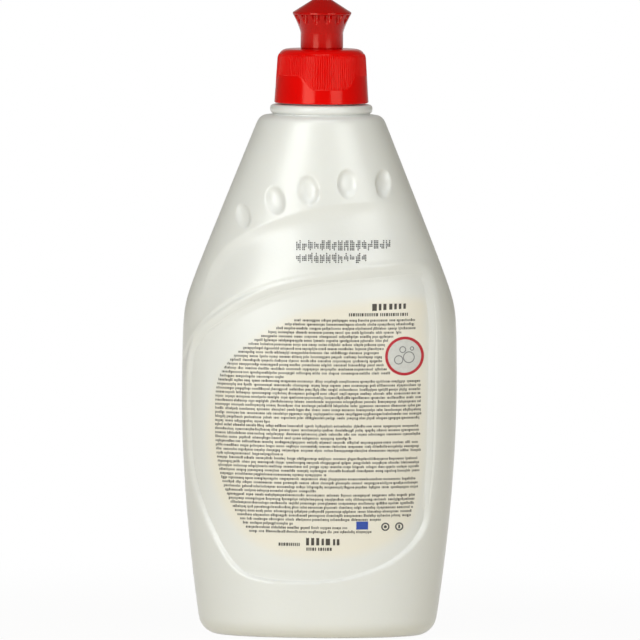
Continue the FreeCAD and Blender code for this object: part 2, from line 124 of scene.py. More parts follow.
# The panel's outline, as shares of the belly's half width and of the shelf's level.
PANEL_OUTLINE = [
    (0.74, 0.708), (0.44, 0.705), (0.15, 0.697), (-0.15, 0.685), (-0.44, 0.662),
    (-0.73, 0.618), (-0.91, 0.571), (-0.965, 0.500), (-0.965, 0.400), (-0.93, 0.300),
    (-0.80, 0.205), (-0.62, 0.131), (-0.40, 0.107), (0.0, 0.103), (0.30, 0.116),
    (0.58, 0.148), (0.78, 0.205), (0.865, 0.300), (0.890, 0.450), (0.885, 0.590),
    (0.840, 0.675),
]
PANEL_EDGE = 1.3
PANEL_TOP_EDGE = 4.5
PANEL_SOFT_EDGE = 5.5
PANEL_BEAD = 0.24
PANEL_BEAD_AWAY = 0.6
PANEL_BEAD_WIDTH = 1.0
RELIEF_RISE = 0.7
TOP_EDGE_STARTS = 90.0
TOP_EDGE_SPAN = 10.0
PANEL_TOP_RISE = 0.9
TOP_RISE_STARTS = -10.0
TOP_RISE_SPAN = 30.0
SOFT_EDGE_STARTS = 30.0
SOFT_EDGE_SPAN = 8.0
SOFT_EDGE_FOOT = 36.0

# The swept band's crests, from right to left: upper, lower, and its share of the full depth.
BAND_STATIONS = [
    ((0.64, 0.824), (0.80, 0.714), 0.02),
    ((0.44, 0.834), (0.50, 0.713), 0.60),
    ((0.22, 0.832), (0.22, 0.712), 1.00),
    ((0.00, 0.825), (-0.04, 0.700), 1.00),
    ((-0.22, 0.809), (-0.27, 0.688), 1.00),
    ((-0.45, 0.786), (-0.48, 0.670), 1.00),
    ((-0.65, 0.755), (-0.64, 0.649), 0.90),
    ((-0.78, 0.712), (-0.75, 0.628), 0.60),
    ((-0.86, 0.655), (-0.84, 0.605), 0.02),
]
BAND_CENTRE = (20.0, 60.0)
BAND_DEEPEST = 0.26
GROOVE_DEPTH = 0.45
GROOVE_EDGE = 1.1
GROOVE_RIGHT = 8.0
GROOVE_FADE = 16.0
GROOVE_RISE = 12.0

# Finger dimples: place in the same shares, size against the middle one, and lean in degrees.
DIMPLES = [
    ((-0.560, 0.805), 0.82, 24.0),
    ((-0.327, 0.836), 0.95, 17.0),
    ((-0.087, 0.856), 1.00, 9.0),
    ((0.190, 0.869), 0.97, 3.0),
    ((0.451, 0.869), 0.92, -2.0),
]
DIMPLE_HALF_WIDTH = 3.4
DIMPLE_HALF_HEIGHT = 4.9

# Closure.
DECK_RADIUS = 14.2
DECK_FALL = 0.3
DECK_ROUND = 3.4
SEAT_RADIUS = 7.3
CHIMNEY_RADIUS = 5.6
CHIMNEY_HEIGHT = 10.0
CHIMNEY_TOP = DECK_LEVEL + CHIMNEY_HEIGHT
CHANNEL_RADIUS = 4.4
BEAD_REACH = 0.3
BEAD_HEIGHT = 1.2
BEAD_LEVEL = CHIMNEY_TOP - 2.5
STEM_RADIUS = 1.9
SPIDER_TOP = CHIMNEY_TOP - 0.5
SPIDER_HEIGHT = 3.5
SPIDER_WIDTH = 1.2
SKIRT_BORE = NECK_RADIUS + THREAD_REACH + 0.25
POCKET_RADIUS = 12.4
GRIP_STEP = 0.3
GRIP_LOW = 177.3
GRIP_HIGH = 181.6
GRIP_EDGE = 0.62
GRIP_TURN = 11.0
GRIP_TROUGH = 19.4
GRIP_WAVE = 22.1

# Spout.
SLEEVE_RADIUS = 6.9
SLEEVE_FOOT = DECK_LEVEL + 0.06
FLARE_BEND = 1.35
FLARE_LEVEL = 4.5
RIM_FOOT_LEVEL = 10.7
RIM_HEIGHT = 0.7
TIP_RADIUS = 3.1
OUTLET_RADIUS = 2.05
FLUTE_RADIUS = 1.25
FLUTE_REACH = 9.1

# Label film and its printed field.
LABEL_MARGIN = 1.6
FILM_SINK = 0.02
CREAM_STARTS = -2.0
CREAM_SPAN = 5.0
CREAM_OUTLINE = [
    (33.0, 110.5), (12.0, 109.5), (-8.0, 105.2), (-22.0, 96.5), (-32.0, 85.3), (-36.0, 71.0),
    (-35.5, 55.0), (-31.0, 42.0), (-23.0, 32.0), (-12.0, 27.0), (4.0, 26.0), (18.0, 28.5),
    (28.5, 35.0), (33.0, 46.0), (34.6, 63.0), (34.9, 85.0), (34.6, 101.0),
]

# Text block: its edges, and how each draws in, from which level, over what run, how far and how
# sharply. SHORT_LINES end a paragraph in their row at that place, and LAST_LINES only end short.
TEXT_TOP = 103.4
TEXT_FOOT = 34.8
TEXT_LEFT = -33.6
TEXT_RIGHT = 32.9
LEFT_DRAWN_ABOVE = (76.0, 28.0, 26.8, 2.55)
LEFT_DRAWN_BELOW = (72.0, -35.0, 9.6, 2.7)
RIGHT_DRAWN_BELOW = (60.0, -20.0, 3.0, 1.8)
SHORT_LINES = {
    0: 30.8, 1: 30.8, 2: 30.8, 3: 26.6, 4: 25.4, 14: -11.4, 25: -15.6, 29: 10.7, 33: -11.4,
    38: 2.6, 42: -0.7, 49: 20.5, 50: -8.1,
}
LAST_LINES = {51: 10.2, 52: 18.0}
TICK_HEIGHT = 0.62
TICK_BOLD = 0.06
TICK_REACH = 1.38
WORD_GAP = 0.40
WORD_LEAST = 0.6

# Larger print above and below the text block: left end, right end, level and height.
HEADINGS = [
    (16.9, 21.6, 107.6, 2.4), (22.4, 28.8, 107.6, 2.4), (9.4, 14.0, 105.3, 1.0),
    (14.5, 19.0, 105.3, 1.0), (19.5, 25.6, 105.3, 1.0), (26.0, 28.8, 105.3, 1.0),
    (-12.8, -5.9, 30.8, 1.0), (-3.9, 0.9, 31.9, 2.7), (1.1, 4.3, 31.7, 2.2),
    (4.8, 6.7, 31.6, 2.0), (-3.8, -0.4, 29.3, 1.0), (0.0, 4.2, 29.3, 1.0),
]

# Other print: the ring mark with its bubbles (place from its centre, and radius), the small
# rings, and the boxes of the blue patch and of a small bar (left, right, foot and top).
PRINT_FOOT = 0.05
PRINT_LIFT = 0.16
RING_CENTRE = (27.5, 91.8)
RING_OUTER = 6.3
RING_INNER = 5.4
RING_ROOM = 0.9
BUBBLES = ((-1.9, -1.2, 1.5), (1.4, -0.4, 1.9), (-0.6, 2.1, 1.1), (2.4, 2.4, 0.7))
BUBBLE_LINE = 0.3
SMALL_RINGS = ((21.7, 36.5), (26.2, 36.5))
SMALL_RING_RADII = (1.35, 0.9)
SMALL_BAR = (25.9, 26.5, 35.9, 37.1)
BLUE_PATCH = (12.3, 16.1, 35.7, 38.3)

# The filler's dots: each row's foot and count of cells, and how cells and dots are spaced.
CODE_ROWS = ((126.3, 16), (122.3, 12))
CODE_LEFT = -7.6
CELL_PITCH = 1.93
DOT_PITCH = (0.52, 0.56)
DOT_SIZE = 0.38

# A pattern piece is one metre long, so that a mark's size in metres is its scale.
UNIT_HALF = 0.5 / MM

# Finishes.
NOISE_RANGE = (0.15, 0.85)
SUBSURFACE = {"Subsurface Radius": (1.0, 0.9, 0.75), "Subsurface Scale": 0.002}
FOAM_COLOUR = (0.80, 0.80, 0.77)
FLOOR_COLOUR = (0.80, 0.74, 0.58)
WHITE = (1.0, 1.0, 1.0, 1.0)

# Studio: name, azimuth, elevation, distance, width and height of each lamp. A softbox's last
# value is its share of the power.
TARGET = (0.07 * MM, 0.0, 102.2 * MM)
SOFTBOXES = (
    ("softbox_left", -32, 15, 0.9, 0.45, 0.58, 1.0),
    ("softbox_right", 37, 13, 0.9, 0.45, 0.42, 0.48),
)
FRONT_FILL = ("front_fill", 0, 50, 1.0, 0.6, 0.4)
CAMERA_LENS = 800.0
CAMERA_SENSOR = 36.0
FLOOR_REACH = 3000.0


def smoothstep(share):
    share = np.clip(share, 0.0, 1.0)
    return share * share * (3.0 - 2.0 * share)


def soft_least(first, second, roundness):
    """The lesser of two values, with a rounded corner where they cross."""
    return (first + second) / 2 - np.sqrt(((first - second) / 2) ** 2 + roundness ** 2)


def body_half(level, belly, foot, shelf, slope, roundness):
    """Half the body's width or depth at a level."""
    below = np.maximum(0.0, 1.0 - level / BELLY_LEVEL) ** FOOT_CURVE
    taper = shelf + slope * (SHELF_LEVEL - level)
    return soft_least(belly - (belly - foot) * below, taper, roundness)


def half_width(level):
    return body_half(level, BELLY_HALF_WIDTH, FOOT_HALF_WIDTH, SHELF_HALF_WIDTH, SIDE_SLOPE, SIDE_ROUND)


def half_depth(level):
    return body_half(level, BELLY_HALF_DEPTH, FOOT_HALF_DEPTH, SHELF_HALF_DEPTH, FACE_SLOPE, FACE_ROUND)


def smooth_run(points, steps, closed=False):
    """A smooth curve through points, divided into steps for each stretch."""
    points = np.asarray(points, float)
    if closed:
        before, start = np.roll(points, 1, axis=0), points
        after, beyond = np.roll(points, -1, axis=0), np.roll(points, -2, axis=0)
    else:
        ends = np.vstack([2 * points[0] - points[1], points, 2 * points[-1] - points[-2]])
        before, start, after, beyond = ends[:-3], ends[1:-2], ends[2:-1], ends[3:]
    share = np.linspace(0, 1, steps, endpoint=False)[:, None, None]
    run = start + 0.5 * share * (after - before + share * (
        2 * before - 5 * start + 4 * after - beyond + share * (3 * (start - after) + beyond - before)))
    run = run.transpose(1, 0, 2).reshape(-1, points.shape[1])
    return run if closed else np.vstack([run, points[-1]])


def in_millimetres(shares):
    return np.asarray(shares, float) * (BELLY_HALF_WIDTH, SHELF_LEVEL)


def inside_distance(x, z, outline):
    """How far each place lies inside a closed outline. It is negative outside."""
    start_x, start_z = outline.T
    end_x, end_z = np.roll(outline, -1, axis=0).T
    run_x = end_x - start_x
    run_z = end_z - start_z
    x = np.asarray(x, float)[..., None]
    z = np.asarray(z, float)[..., None]
    share = np.clip(((x - start_x) * run_x + (z - start_z) * run_z) / (run_x ** 2 + run_z ** 2), 0, 1)
    reach = np.hypot(x - start_x - share * run_x, z - start_z - share * run_z).min(axis=-1)
    spans = (start_z > z) != (end_z > z)
    crossing = run_x * (z - start_z) / np.where(run_z == 0, 1.0, run_z) + start_x
    inside = (spans & (x < crossing)).sum(axis=-1) % 2 == 1
    return np.where(inside, reach, -reach)


PANEL_CURVE = smooth_run(in_millimetres(PANEL_OUTLINE), 8, closed=True)


def round_centre(points):
    """Places as a turn in degrees and a reach about the swept band's centre."""
    across, up = (np.asarray(points, float) - BAND_CENTRE).T
    return np.degrees(np.arctan2(up, across)), np.hypot(across, up)


UPPER_CREST = round_centre(smooth_run(in_millimetres([upper for upper, _, _ in BAND_STATIONS]), 8))
LOWER_CREST = round_centre(smooth_run(in_millimetres([lower for _, lower, _ in BAND_STATIONS]), 8))
BAND_SHARES = smooth_run([(share, 0.0) for _, _, share in BAND_STATIONS], 8)[:, 0]


def band_relief(x, z, depth):
    """The swept band: a cove under its upper crest that runs out to its lower one, and a shallow
    groove below that."""
    turn, reach = round_centre(np.column_stack([np.ravel(x), np.ravel(z)]))
    turn = turn.reshape(np.shape(x))
    reach = reach.reshape(np.shape(x))
    upper = np.interp(turn, *UPPER_CREST)
    lower = np.interp(turn, *LOWER_CREST)
    up = np.clip((reach - lower) / (upper - lower), 0, 1)
    upper_share = np.interp(turn, UPPER_CREST[0], BAND_SHARES, left=0.0, right=0.0)
    lower_share = np.interp(turn, LOWER_CREST[0], BAND_SHARES, left=0.0, right=0.0)
    share = lower_share + (upper_share - lower_share) * up
    cove = np.sin(math.pi / 2 * np.clip((1 - up) / BAND_DEEPEST, 0, 1))
    rise = np.cos(math.pi / 2 * np.clip((1 - up - BAND_DEEPEST) / (1 - BAND_DEEPEST), 0, 1))
    band = depth * share * cove * rise ** 1.5
    within = np.minimum(-inside_distance(x, z, PANEL_CURVE), lower - reach)
    groove = GROOVE_DEPTH * smoothstep(within / GROOVE_EDGE) * smoothstep((GROOVE_RIGHT - x) / GROOVE_FADE)
    return np.maximum(band, groove * smoothstep((z - BELLY_LEVEL) / GROOVE_RISE))


def dimple_relief(x, z, depth):
    """The finger dimples, each an oval on the face's own slope."""
    pressed = np.zeros(np.shape(x))
    for place, share, lean in DIMPLES:
        centre_x, centre_z = in_millimetres(place)
        wide = half_width(centre_z)
        slope = half_depth(centre_z) * centre_x / (wide * math.sqrt(wide ** 2 - centre_x ** 2))
        across = (x - centre_x) * math.hypot(1.0, slope)
        up = z - centre_z
        turn = math.radians(lean)
        along = up * math.cos(turn) - across * math.sin(turn)
        beside = across * math.cos(turn) + up * math.sin(turn)
        out = np.hypot(beside / (DIMPLE_HALF_WIDTH * share), along / (DIMPLE_HALF_HEIGHT * share))
        pressed = np.maximum(pressed, depth * share * np.clip(1.0 - out ** 3, 0.0, 1.0))
    return pressed


def face_relief(x, z, settings):
    """How deep the face is pressed in at each place, seen square on."""
    z = z - RELIEF_RISE
    at_top = smoothstep((z - TOP_EDGE_STARTS) / TOP_EDGE_SPAN)
    at_right = smoothstep((x - SOFT_EDGE_STARTS) / SOFT_EDGE_SPAN)
    at_right = at_right * smoothstep((z - SOFT_EDGE_FOOT) / TOP_EDGE_SPAN)
    edge = PANEL_EDGE + (PANEL_SOFT_EDGE - PANEL_EDGE) * at_right
    edge = edge + (PANEL_TOP_EDGE - edge) * at_top
    lower = z - PANEL_TOP_RISE * at_top * smoothstep((x - TOP_RISE_STARTS) / TOP_RISE_SPAN)
    inside = inside_distance(x, lower, PANEL_CURVE)
    panel = settings.panel_depth / MM * smoothstep(inside / edge)
    bead = np.exp(-((inside + PANEL_BEAD_AWAY) / PANEL_BEAD_WIDTH) ** 2)
    bead = PANEL_BEAD * at_top * (1.0 - at_right) * bead
    band = band_relief(x, z, settings.band_depth / MM)
    dimples = dimple_relief(x, z, settings.dimple_depth / MM)
    return np.maximum(np.maximum(panel, band), dimples) - bead


def face_point(x, z, settings, lift=0.0):
    """A place on the pressed face that looks to -Y, raised by lift."""
    inset = face_relief(x, z, settings) - lift
    across = np.clip(x / (half_width(z) - inset), -1, 1)
    y = -(half_depth(z) - inset) * np.sqrt(1.0 - across ** 2)
    return np.stack([x + 0 * y, y, z + 0 * y], axis=-1)


def new_object(name, points, faces, material, smooth_angle=40.0):
    """A mesh object from points in millimetres."""
    mesh = bpy.data.meshes.new(name)
    mesh.from_pydata((np.asarray(points, float) * MM).tolist(), [], faces)
    mesh.validate()
    mesh.materials.append(material)
    mesh.shade_smooth()
    mesh.set_sharp_from_angle(angle=math.radians(smooth_angle))
    piece = bpy.data.objects.new(name, mesh)
    bpy.context.scene.collection.objects.link(piece)
    return piece


def ring_mesh(rings, closed=False, poles=(None, None)):
    """Points and faces of a skin over rings that follow each other, walked so that its outside is
    on the right. A pole closes an end."""
    count = len(rings)
    columns = len(rings[0])
    faces = []
    for ring in range(count if closed else count - 1):
        low = ring * columns
        high = (ring + 1) % count * columns
        for column in range(columns):
            beside = (column + 1) % columns
            faces.append((low + column, low + beside, high + beside, high + column))
    pole = count * columns
    if poles[0] is not None:
        faces.extend((pole, (column + 1) % columns, column) for column in range(columns))
        pole += 1
    if poles[1] is not None:
        top = (count - 1) * columns
        faces.extend((pole, top + column, top + (column + 1) % columns) for column in range(columns))
    return np.vstack(list(rings) + [np.array([place]) for place in poles if place is not None]), faces


def together(parts):
    """Several sets of points and faces as one."""
    points = []
    faces = []
    first = 0
    for part_points, part_faces in parts:
        points.append(part_points)
        faces.extend(tuple(first + corner for corner in face) for face in part_faces)
        first += len(part_points)
    return np.vstack(points), faces


def rounded_profile(corners, steps=5):
    """A profile of (radius, level, rounding) corners with an arc at each rounded one."""
    places = [np.array(corner[:2], float) for corner in corners]
    profile = []
    for number, corner in enumerate(corners):
        here = places[number]
        rounding = corner[2] if len(corner) > 2 else 0.0
        if not rounding:
            profile.append(here)
            continue
        back = places[number - 1] - here
        ahead = places[(number + 1) % len(places)] - here
        back = back / np.linalg.norm(back)
        ahead = ahead / np.linalg.norm(ahead)
        half = math.acos(np.clip(back @ ahead, -1, 1)) / 2
        cut = rounding / math.tan(half)
        centre = here + (back + ahead) / np.linalg.norm(back + ahead) * rounding / math.sin(half)
        start = here + back * cut - centre
        end = here + ahead * cut - centre
        sweep = math.pi - 2 * half
        for step in range(steps + 1):
            share = step / steps
            profile.append(centre + (start * math.sin((1 - share) * sweep)
                                     + end * math.sin(share * sweep)) / math.sin(sweep))
    return profile


def oval_ring(wide, deep, level, turns):
    """A ring of points about the Z axis. Its sizes and level may differ from turn to turn."""
    return np.stack([wide * np.cos(turns), deep * np.sin(turns), level + 0 * turns], axis=-1)


def circle_rings(profile, turns):
    """A ring of points about the Z axis for each (radius, level) pair."""
    return [oval_ring(radius, radius, level, turns) for radius, level in profile]


def turned_mesh(profile, columns, poles):
    """A skin turned about the Z axis from (radius, level) places, closed by its poles."""
    turns = np.linspace(0, 2 * math.pi, columns, endpoint=False)
    return ring_mesh(circle_rings(profile, turns), poles=poles)


def swept_mesh(sections):
    """A bar through sections of like points, closed at both ends."""
    corners = len(sections[0])
    faces = []
    for first in range(0, (len(sections) - 1) * corners, corners):
        for corner in range(corners):
            low = first + corner
            beside = first + (corner + 1) % corners
            faces.append((low, beside, beside + corners, low + corners))
    points = np.array(sections).reshape(-1, 3)
    faces.append(tuple(range(corners - 1, -1, -1)))
    faces.append(tuple(range(len(points) - corners, len(points))))
    return points, faces


def thread_ridge(root_radius, reach, level):
    """A screw thread of tapered section that rises anticlockwise, with run-in at both ends. It
    stands outward, or inward where reach is negative."""
    steps = int(THREAD_TURNS * THREAD_STEPS)
    sections = []
    for share in np.linspace(0, 1, steps + 1):
        turn = 2 * math.pi * THREAD_TURNS * share
        grown = math.sqrt(min(1.0, share * THREAD_RUN_IN, (1.0 - share) * THREAD_RUN_IN) + 0.02)
        middle = level + THREAD_PITCH * THREAD_TURNS * share
        root = root_radius - THREAD_SINK * reach
        crest = root_radius + reach * min(1.0, grown)
        section = [(root, THREAD_ROOT_WIDTH / 2), (crest, THREAD_CREST_WIDTH / 2),
                   (crest, -THREAD_CREST_WIDTH / 2), (root, -THREAD_ROOT_WIDTH / 2)]
        if reach < 0:
            section.reverse()
        sections.append([(radius * math.cos(turn), radius * math.sin(turn), middle + rise)
                         for radius, rise in section])
    return swept_mesh(sections)


def column_turns(front, back):
    """Where the body's columns stand: closer on the labelled face, and a few at each seam."""
    face = np.linspace(-math.pi, 0, front, endpoint=False)
    far_face = np.linspace(0, math.pi, back, endpoint=False)
    seam = np.array([-0.35, -0.15, 0.15, 0.35]) / BELLY_HALF_DEPTH
    return np.sort(np.concatenate([face, far_face, seam, seam + math.pi]) % (2 * math.pi))


def body_levels():
    """Levels of the body's rows, closer where the face is pressed."""
    runs = [(FOOT_ROUND, 16.0, 1.2), (16.0, 32.0, 0.6), (32.0, 90.0, 1.5), (90.0, 153.0, 0.5),
            (153.0, SHELF_LEVEL - SHELF_ROUND, 1.6)]
    return np.concatenate([np.arange(*run) for run in runs])


def body_ring(level, inset, turns):
    """The body's oval at a level, moved in by an inset."""
    return oval_ring(half_width(level) - inset, half_depth(level) - inset, level, turns)


def push_up_rings(turns, grown):
    """The hollow of the base, from near its middle to the stand rim."""
    share = math.sqrt(1 - (PUSH_UP_DROP / (PUSH_UP_DROP + PUSH_UP_RISE)) ** 2)
    wide = (FOOT_HALF_WIDTH - FOOT_ROUND - STAND_RIM) / share + grown
    deep = (FOOT_HALF_DEPTH - FOOT_ROUND - STAND_RIM) / share + grown
    tall = PUSH_UP_DROP + PUSH_UP_RISE + grown
    edge = math.sqrt(1 - ((PUSH_UP_DROP + grown) / tall) ** 2)
    return [oval_ring(wide * out, deep * out, tall * math.sqrt(1 - out ** 2) - PUSH_UP_DROP, turns)
            for out in np.linspace(0.1, 1.0, 9) * edge]


def outer_rings(turns, settings):
    """The bottle's outside from the base to the shelf, with both faces pressed in."""
    rings = push_up_rings(turns, 0.0)
    for turn in np.linspace(0, math.pi / 2, 9):
        rings.append(body_ring(FOOT_ROUND * (1 - math.cos(turn)), FOOT_ROUND * (1 - math.sin(turn)), turns))
    for level in body_levels()[1:]:
        wide = half_width(level)
        deep = half_depth(level)
        out = deep * np.sin(turns)
        inset = face_relief(wide * np.cos(turns), np.full(len(turns), level), settings)
        inset = inset * smoothstep(np.abs(out) / RELIEF_FADE)
        seam = settings.seam_height / MM * np.exp(-(out / SEAM_SPREAD) ** 2)
        rings.append(oval_ring(wide - inset + seam, deep - inset, level, turns))
    for turn in np.linspace(0, math.pi / 2, 6):
        level = SHELF_LEVEL - SHELF_ROUND * (1 - math.sin(turn))
        rings.append(body_ring(level, SHELF_ROUND * (1 - math.cos(turn)), turns))
    return rings


def neck_profile():
    """The neck's outside from the shelf up, over the rim and down its bore."""
    ring_foot = SHELF_LEVEL + COLLAR_HEIGHT
    return rounded_profile([
        (COLLAR_RADIUS + 0.4, SHELF_LEVEL), (COLLAR_RADIUS, SHELF_LEVEL + 0.25),
        (COLLAR_RADIUS, ring_foot), (RING_RADIUS, ring_foot, RING_ROUND),
        (RING_RADIUS, NECK_LEVEL, RING_ROUND), (NECK_RADIUS, NECK_LEVEL, 0.4),
        (NECK_RADIUS, RIM_LEVEL, 0.3), (BORE_RADIUS, RIM_LEVEL, 0.3),
        (BORE_RADIUS, NECK_LEVEL - WALL), (COLLAR_RADIUS - WALL, NECK_LEVEL - WALL),
        (COLLAR_RADIUS - WALL, SHELF_LEVEL - WALL)], steps=3)


def inner_rings(turns):
    """The cavity, from the shelf down to the base."""
    levels = [SHELF_LEVEL - 2.0, *np.linspace(INSIDE_TOP, 12.0, 14)]
    rings = [body_ring(level, RELIEF_WALL + max(0.0, level - INSIDE_TOP) * 0.35, turns) for level in levels]
    round_inside = FOOT_ROUND - WALL
    for turn in np.linspace(math.pi / 2, 0, 5):
        level = WALL + round_inside * (1 - math.cos(turn))
        inset = WALL + round_inside * (1 - math.sin(turn)) + (RELIEF_WALL - WALL) * math.sin(turn)
        rings.append(body_ring(level, inset, turns))
    return rings + push_up_rings(turns, WALL)[::-1]


def bottle_mesh(settings):
    turns = column_turns(settings.front_columns, settings.back_columns)
    rings = outer_rings(turns, settings) + circle_rings(neck_profile(), turns) + inner_rings(turns)
    body = ring_mesh(rings, poles=((0, 0, PUSH_UP_RISE), (0, 0, PUSH_UP_RISE + WALL)))
    return together([body, thread_ridge(NECK_RADIUS, THREAD_REACH, THREAD_LEVEL)])


def grip_boundary(turns):
    """The level where the grip ribs end: a wave of three troughs round the skirt."""
    degrees = np.degrees(turns) + 90.0
    away = np.abs((degrees - GRIP_TURN + 60.0) % 120.0 - 60.0)
    return GRIP_LOW + (GRIP_HIGH - GRIP_LOW) * smoothstep((away - GRIP_TROUGH) / GRIP_WAVE)


def skirt_radius(level):
    share = (level - SKIRT_FOOT) / (DECK_LEVEL - DECK_FALL - SKIRT_FOOT)
    return SKIRT_RADIUS + (DECK_RADIUS - SKIRT_RADIUS) * share


def closure_corner():
    """The rounded corner of skirt and deck, as (radius, level) places."""
    profile = rounded_profile([
        (SKIRT_RADIUS, SKIRT_FOOT), (DECK_RADIUS, DECK_LEVEL - DECK_FALL, DECK_ROUND),
        (SEAT_RADIUS, DECK_LEVEL)], steps=9)
    return profile[1:-1]


def bar_mesh(low, high):
    """A box between two corners, with its faces outward."""
    foot = [(low[0], low[1]), (high[0], low[1]), (high[0], high[1]), (low[0], high[1])]
    points = np.array([(x, y, z) for z in (low[2], high[2]) for x, y in foot])
    faces = [(0, 3, 2, 1), (4, 5, 6, 7), (0, 1, 5, 4), (1, 2, 6, 5), (2, 3, 7, 6), (3, 0, 4, 7)]
    return points, faces


def closure_mesh(columns):
    """The closure's shell, from the skirt's foot up and over, with its thread and plug stem."""
    turns = np.linspace(0, 2 * math.pi, columns, endpoint=False)
    boundary = grip_boundary(turns)
    corner = closure_corner()
    profile = [(SKIRT_RADIUS - 0.3, SKIRT_FOOT), (SKIRT_RADIUS, SKIRT_FOOT + 0.3)]
    for share in (0.3, 0.6, 0.9):
        level = SKIRT_FOOT + (boundary - SKIRT_FOOT) * share
        profile.append((skirt_radius(level), level))
    for step, rise in ((0.0, 0.0), (0.08, 0.12), (0.5, 0.30), (0.92, 0.48), (1.0, GRIP_EDGE)):
        profile.append((skirt_radius(boundary + rise) - GRIP_STEP * step, boundary + rise))
    for share in (0.25, 0.5, 0.75):
        level = boundary + GRIP_EDGE + (corner[0][1] - boundary - GRIP_EDGE) * share
        profile.append((skirt_radius(level) - GRIP_STEP, level))
    for number, (radius, level) in enumerate(corner):
        profile.append((radius - GRIP_STEP * (1 - smoothstep(number / (0.6 * len(corner)))), level))
    profile += rounded_profile([
        (SEAT_RADIUS, DECK_LEVEL), (CHIMNEY_RADIUS, DECK_LEVEL, 0.25),
        (CHIMNEY_RADIUS, BEAD_LEVEL - BEAD_REACH), (CHIMNEY_RADIUS + BEAD_REACH, BEAD_LEVEL, 0.15),
        (CHIMNEY_RADIUS + BEAD_REACH, BEAD_LEVEL + BEAD_HEIGHT, 0.15),
        (CHIMNEY_RADIUS, BEAD_LEVEL + BEAD_HEIGHT + BEAD_REACH), (CHIMNEY_RADIUS, CHIMNEY_TOP, 0.2),
        (CHANNEL_RADIUS, CHIMNEY_TOP, 0.2), (CHANNEL_RADIUS, DECK_LEVEL - DECK_THICKNESS),
        (POCKET_RADIUS, DECK_LEVEL - DECK_THICKNESS), (POCKET_RADIUS, RIM_LEVEL - 0.8),
        (SKIRT_BORE, RIM_LEVEL - 2.8), (SKIRT_BORE, SKIRT_FOOT + 0.3),
        (SKIRT_BORE + 0.3, SKIRT_FOOT)], steps=3)
    thread = thread_ridge(SKIRT_BORE, -THREAD_REACH, THREAD_LEVEL - THREAD_PITCH / 2)
    foot = SPIDER_TOP - SPIDER_HEIGHT
    stem = rounded_profile([(0.6, foot), (STEM_RADIUS, foot, 0.3), (STEM_RADIUS, STEM_TOP, 0.4),
                            (0.6, STEM_TOP)], steps=3)
    return together([ring_mesh(circle_rings(profile, turns), closed=True), thread,
                     turned_mesh(stem, 48, ((0, 0, foot), (0, 0, STEM_TOP)))])


def rib_mesh(radius):
    """One grip rib: a half-sunk bar from the boundary up the skirt and into the corner."""
    corner = closure_corner()
    foot = GRIP_LOW - 0.4
    path = [(skirt_radius(foot) - 0.05, foot)]
    path += [(skirt_radius(level), level) for level in (GRIP_HIGH, (GRIP_HIGH + corner[0][1]) / 2)]
    path += corner[:5]
    sections = []
    for number, (reach, level) in enumerate(path):
        sunk = radius + (0.35 if number == len(path) - 1 else 0.0)
        lean = math.radians(10.0 * max(0, number - 2))
        section = []
        for turn in np.linspace(0, math.pi, 6):
            out = radius * math.sin(turn) - sunk
            section.append((reach + out * math.cos(lean), -radius * math.cos(turn),
                            level + out * math.sin(lean)))
        sections.append(section)
    return swept_mesh(sections)


def spout_radius_under_rim(level, turns, flute_count):
    """The flare's radius round the spout, with its flutes cut in."""
    share = np.clip((level - SPOUT_FOOT - FLARE_LEVEL) / (RIM_FOOT_LEVEL - FLARE_LEVEL), 0.0, 1.0)
    flare = SLEEVE_RADIUS + (SPOUT_RIM_RADIUS - SLEEVE_RADIUS) * share ** FLARE_BEND
    apart = (turns * flute_count / (2 * math.pi) + 0.5) % 1.0 - 0.5
    across = FLUTE_REACH * np.sin(apart * 2 * math.pi / flute_count)
    inside = np.clip(FLUTE_RADIUS ** 2 - across ** 2, 0.0, None)
    bottom = FLUTE_REACH * np.cos(apart * 2 * math.pi / flute_count) - np.sqrt(inside)
    return np.where(inside > 0, np.minimum(flare, bottom), flare)


def spout_mesh(flute_count):
    turns = np.linspace(0, 2 * math.pi, flute_count * 16, endpoint=False)
    rim_foot = SPOUT_FOOT + RIM_FOOT_LEVEL
    lip_bore = CHIMNEY_RADIUS + 0.12
    sleeve_bore = CHIMNEY_RADIUS + BEAD_REACH + 0.1
    profile = [(lip_bore, SLEEVE_FOOT + 0.15), (lip_bore + 0.15, SLEEVE_FOOT),
               (SLEEVE_RADIUS - 0.2, SLEEVE_FOOT), (SLEEVE_RADIUS, SLEEVE_FOOT + 0.2)]
    for level in np.linspace(SPOUT_FOOT + FLARE_LEVEL, rim_foot - 0.05, 30):
        profile.append((spout_radius_under_rim(level, turns, flute_count), level))
    profile += rounded_profile([
        (SPOUT_RIM_RADIUS - 0.6, rim_foot), (SPOUT_RIM_RADIUS, rim_foot, 0.12),
        (SPOUT_RIM_RADIUS, rim_foot + RIM_HEIGHT, 0.12), (TIP_RADIUS, SPOUT_TIP, 0.5),
        (OUTLET_RADIUS, SPOUT_TIP, 0.15), (OUTLET_RADIUS, SPOUT_TIP - 1.8),
        (sleeve_bore, CHIMNEY_TOP + 0.4), (sleeve_bore, SPOUT_FOOT + 1.8),
        (lip_bore, SPOUT_FOOT + 1.5)], steps=4)
    return ring_mesh(circle_rings(profile, turns), closed=True)


def label_outline():
    """The label's edge: the panel's outline, moved in by the label's margin."""
    ahead = np.roll(PANEL_CURVE, -1, axis=0) - np.roll(PANEL_CURVE, 1, axis=0)
    ahead /= np.linalg.norm(ahead, axis=1)[:, None]
    inward = np.stack([-ahead[:, 1], ahead[:, 0]], axis=-1)
    return PANEL_CURVE + inward * LABEL_MARGIN


def on_face(outline, share, settings, lift):
    """An outline drawn in to a share of its size and laid on the pressed face."""
    centre = outline.mean(axis=0)
    return face_point(*(centre + (outline - centre) * share).T, settings, lift)


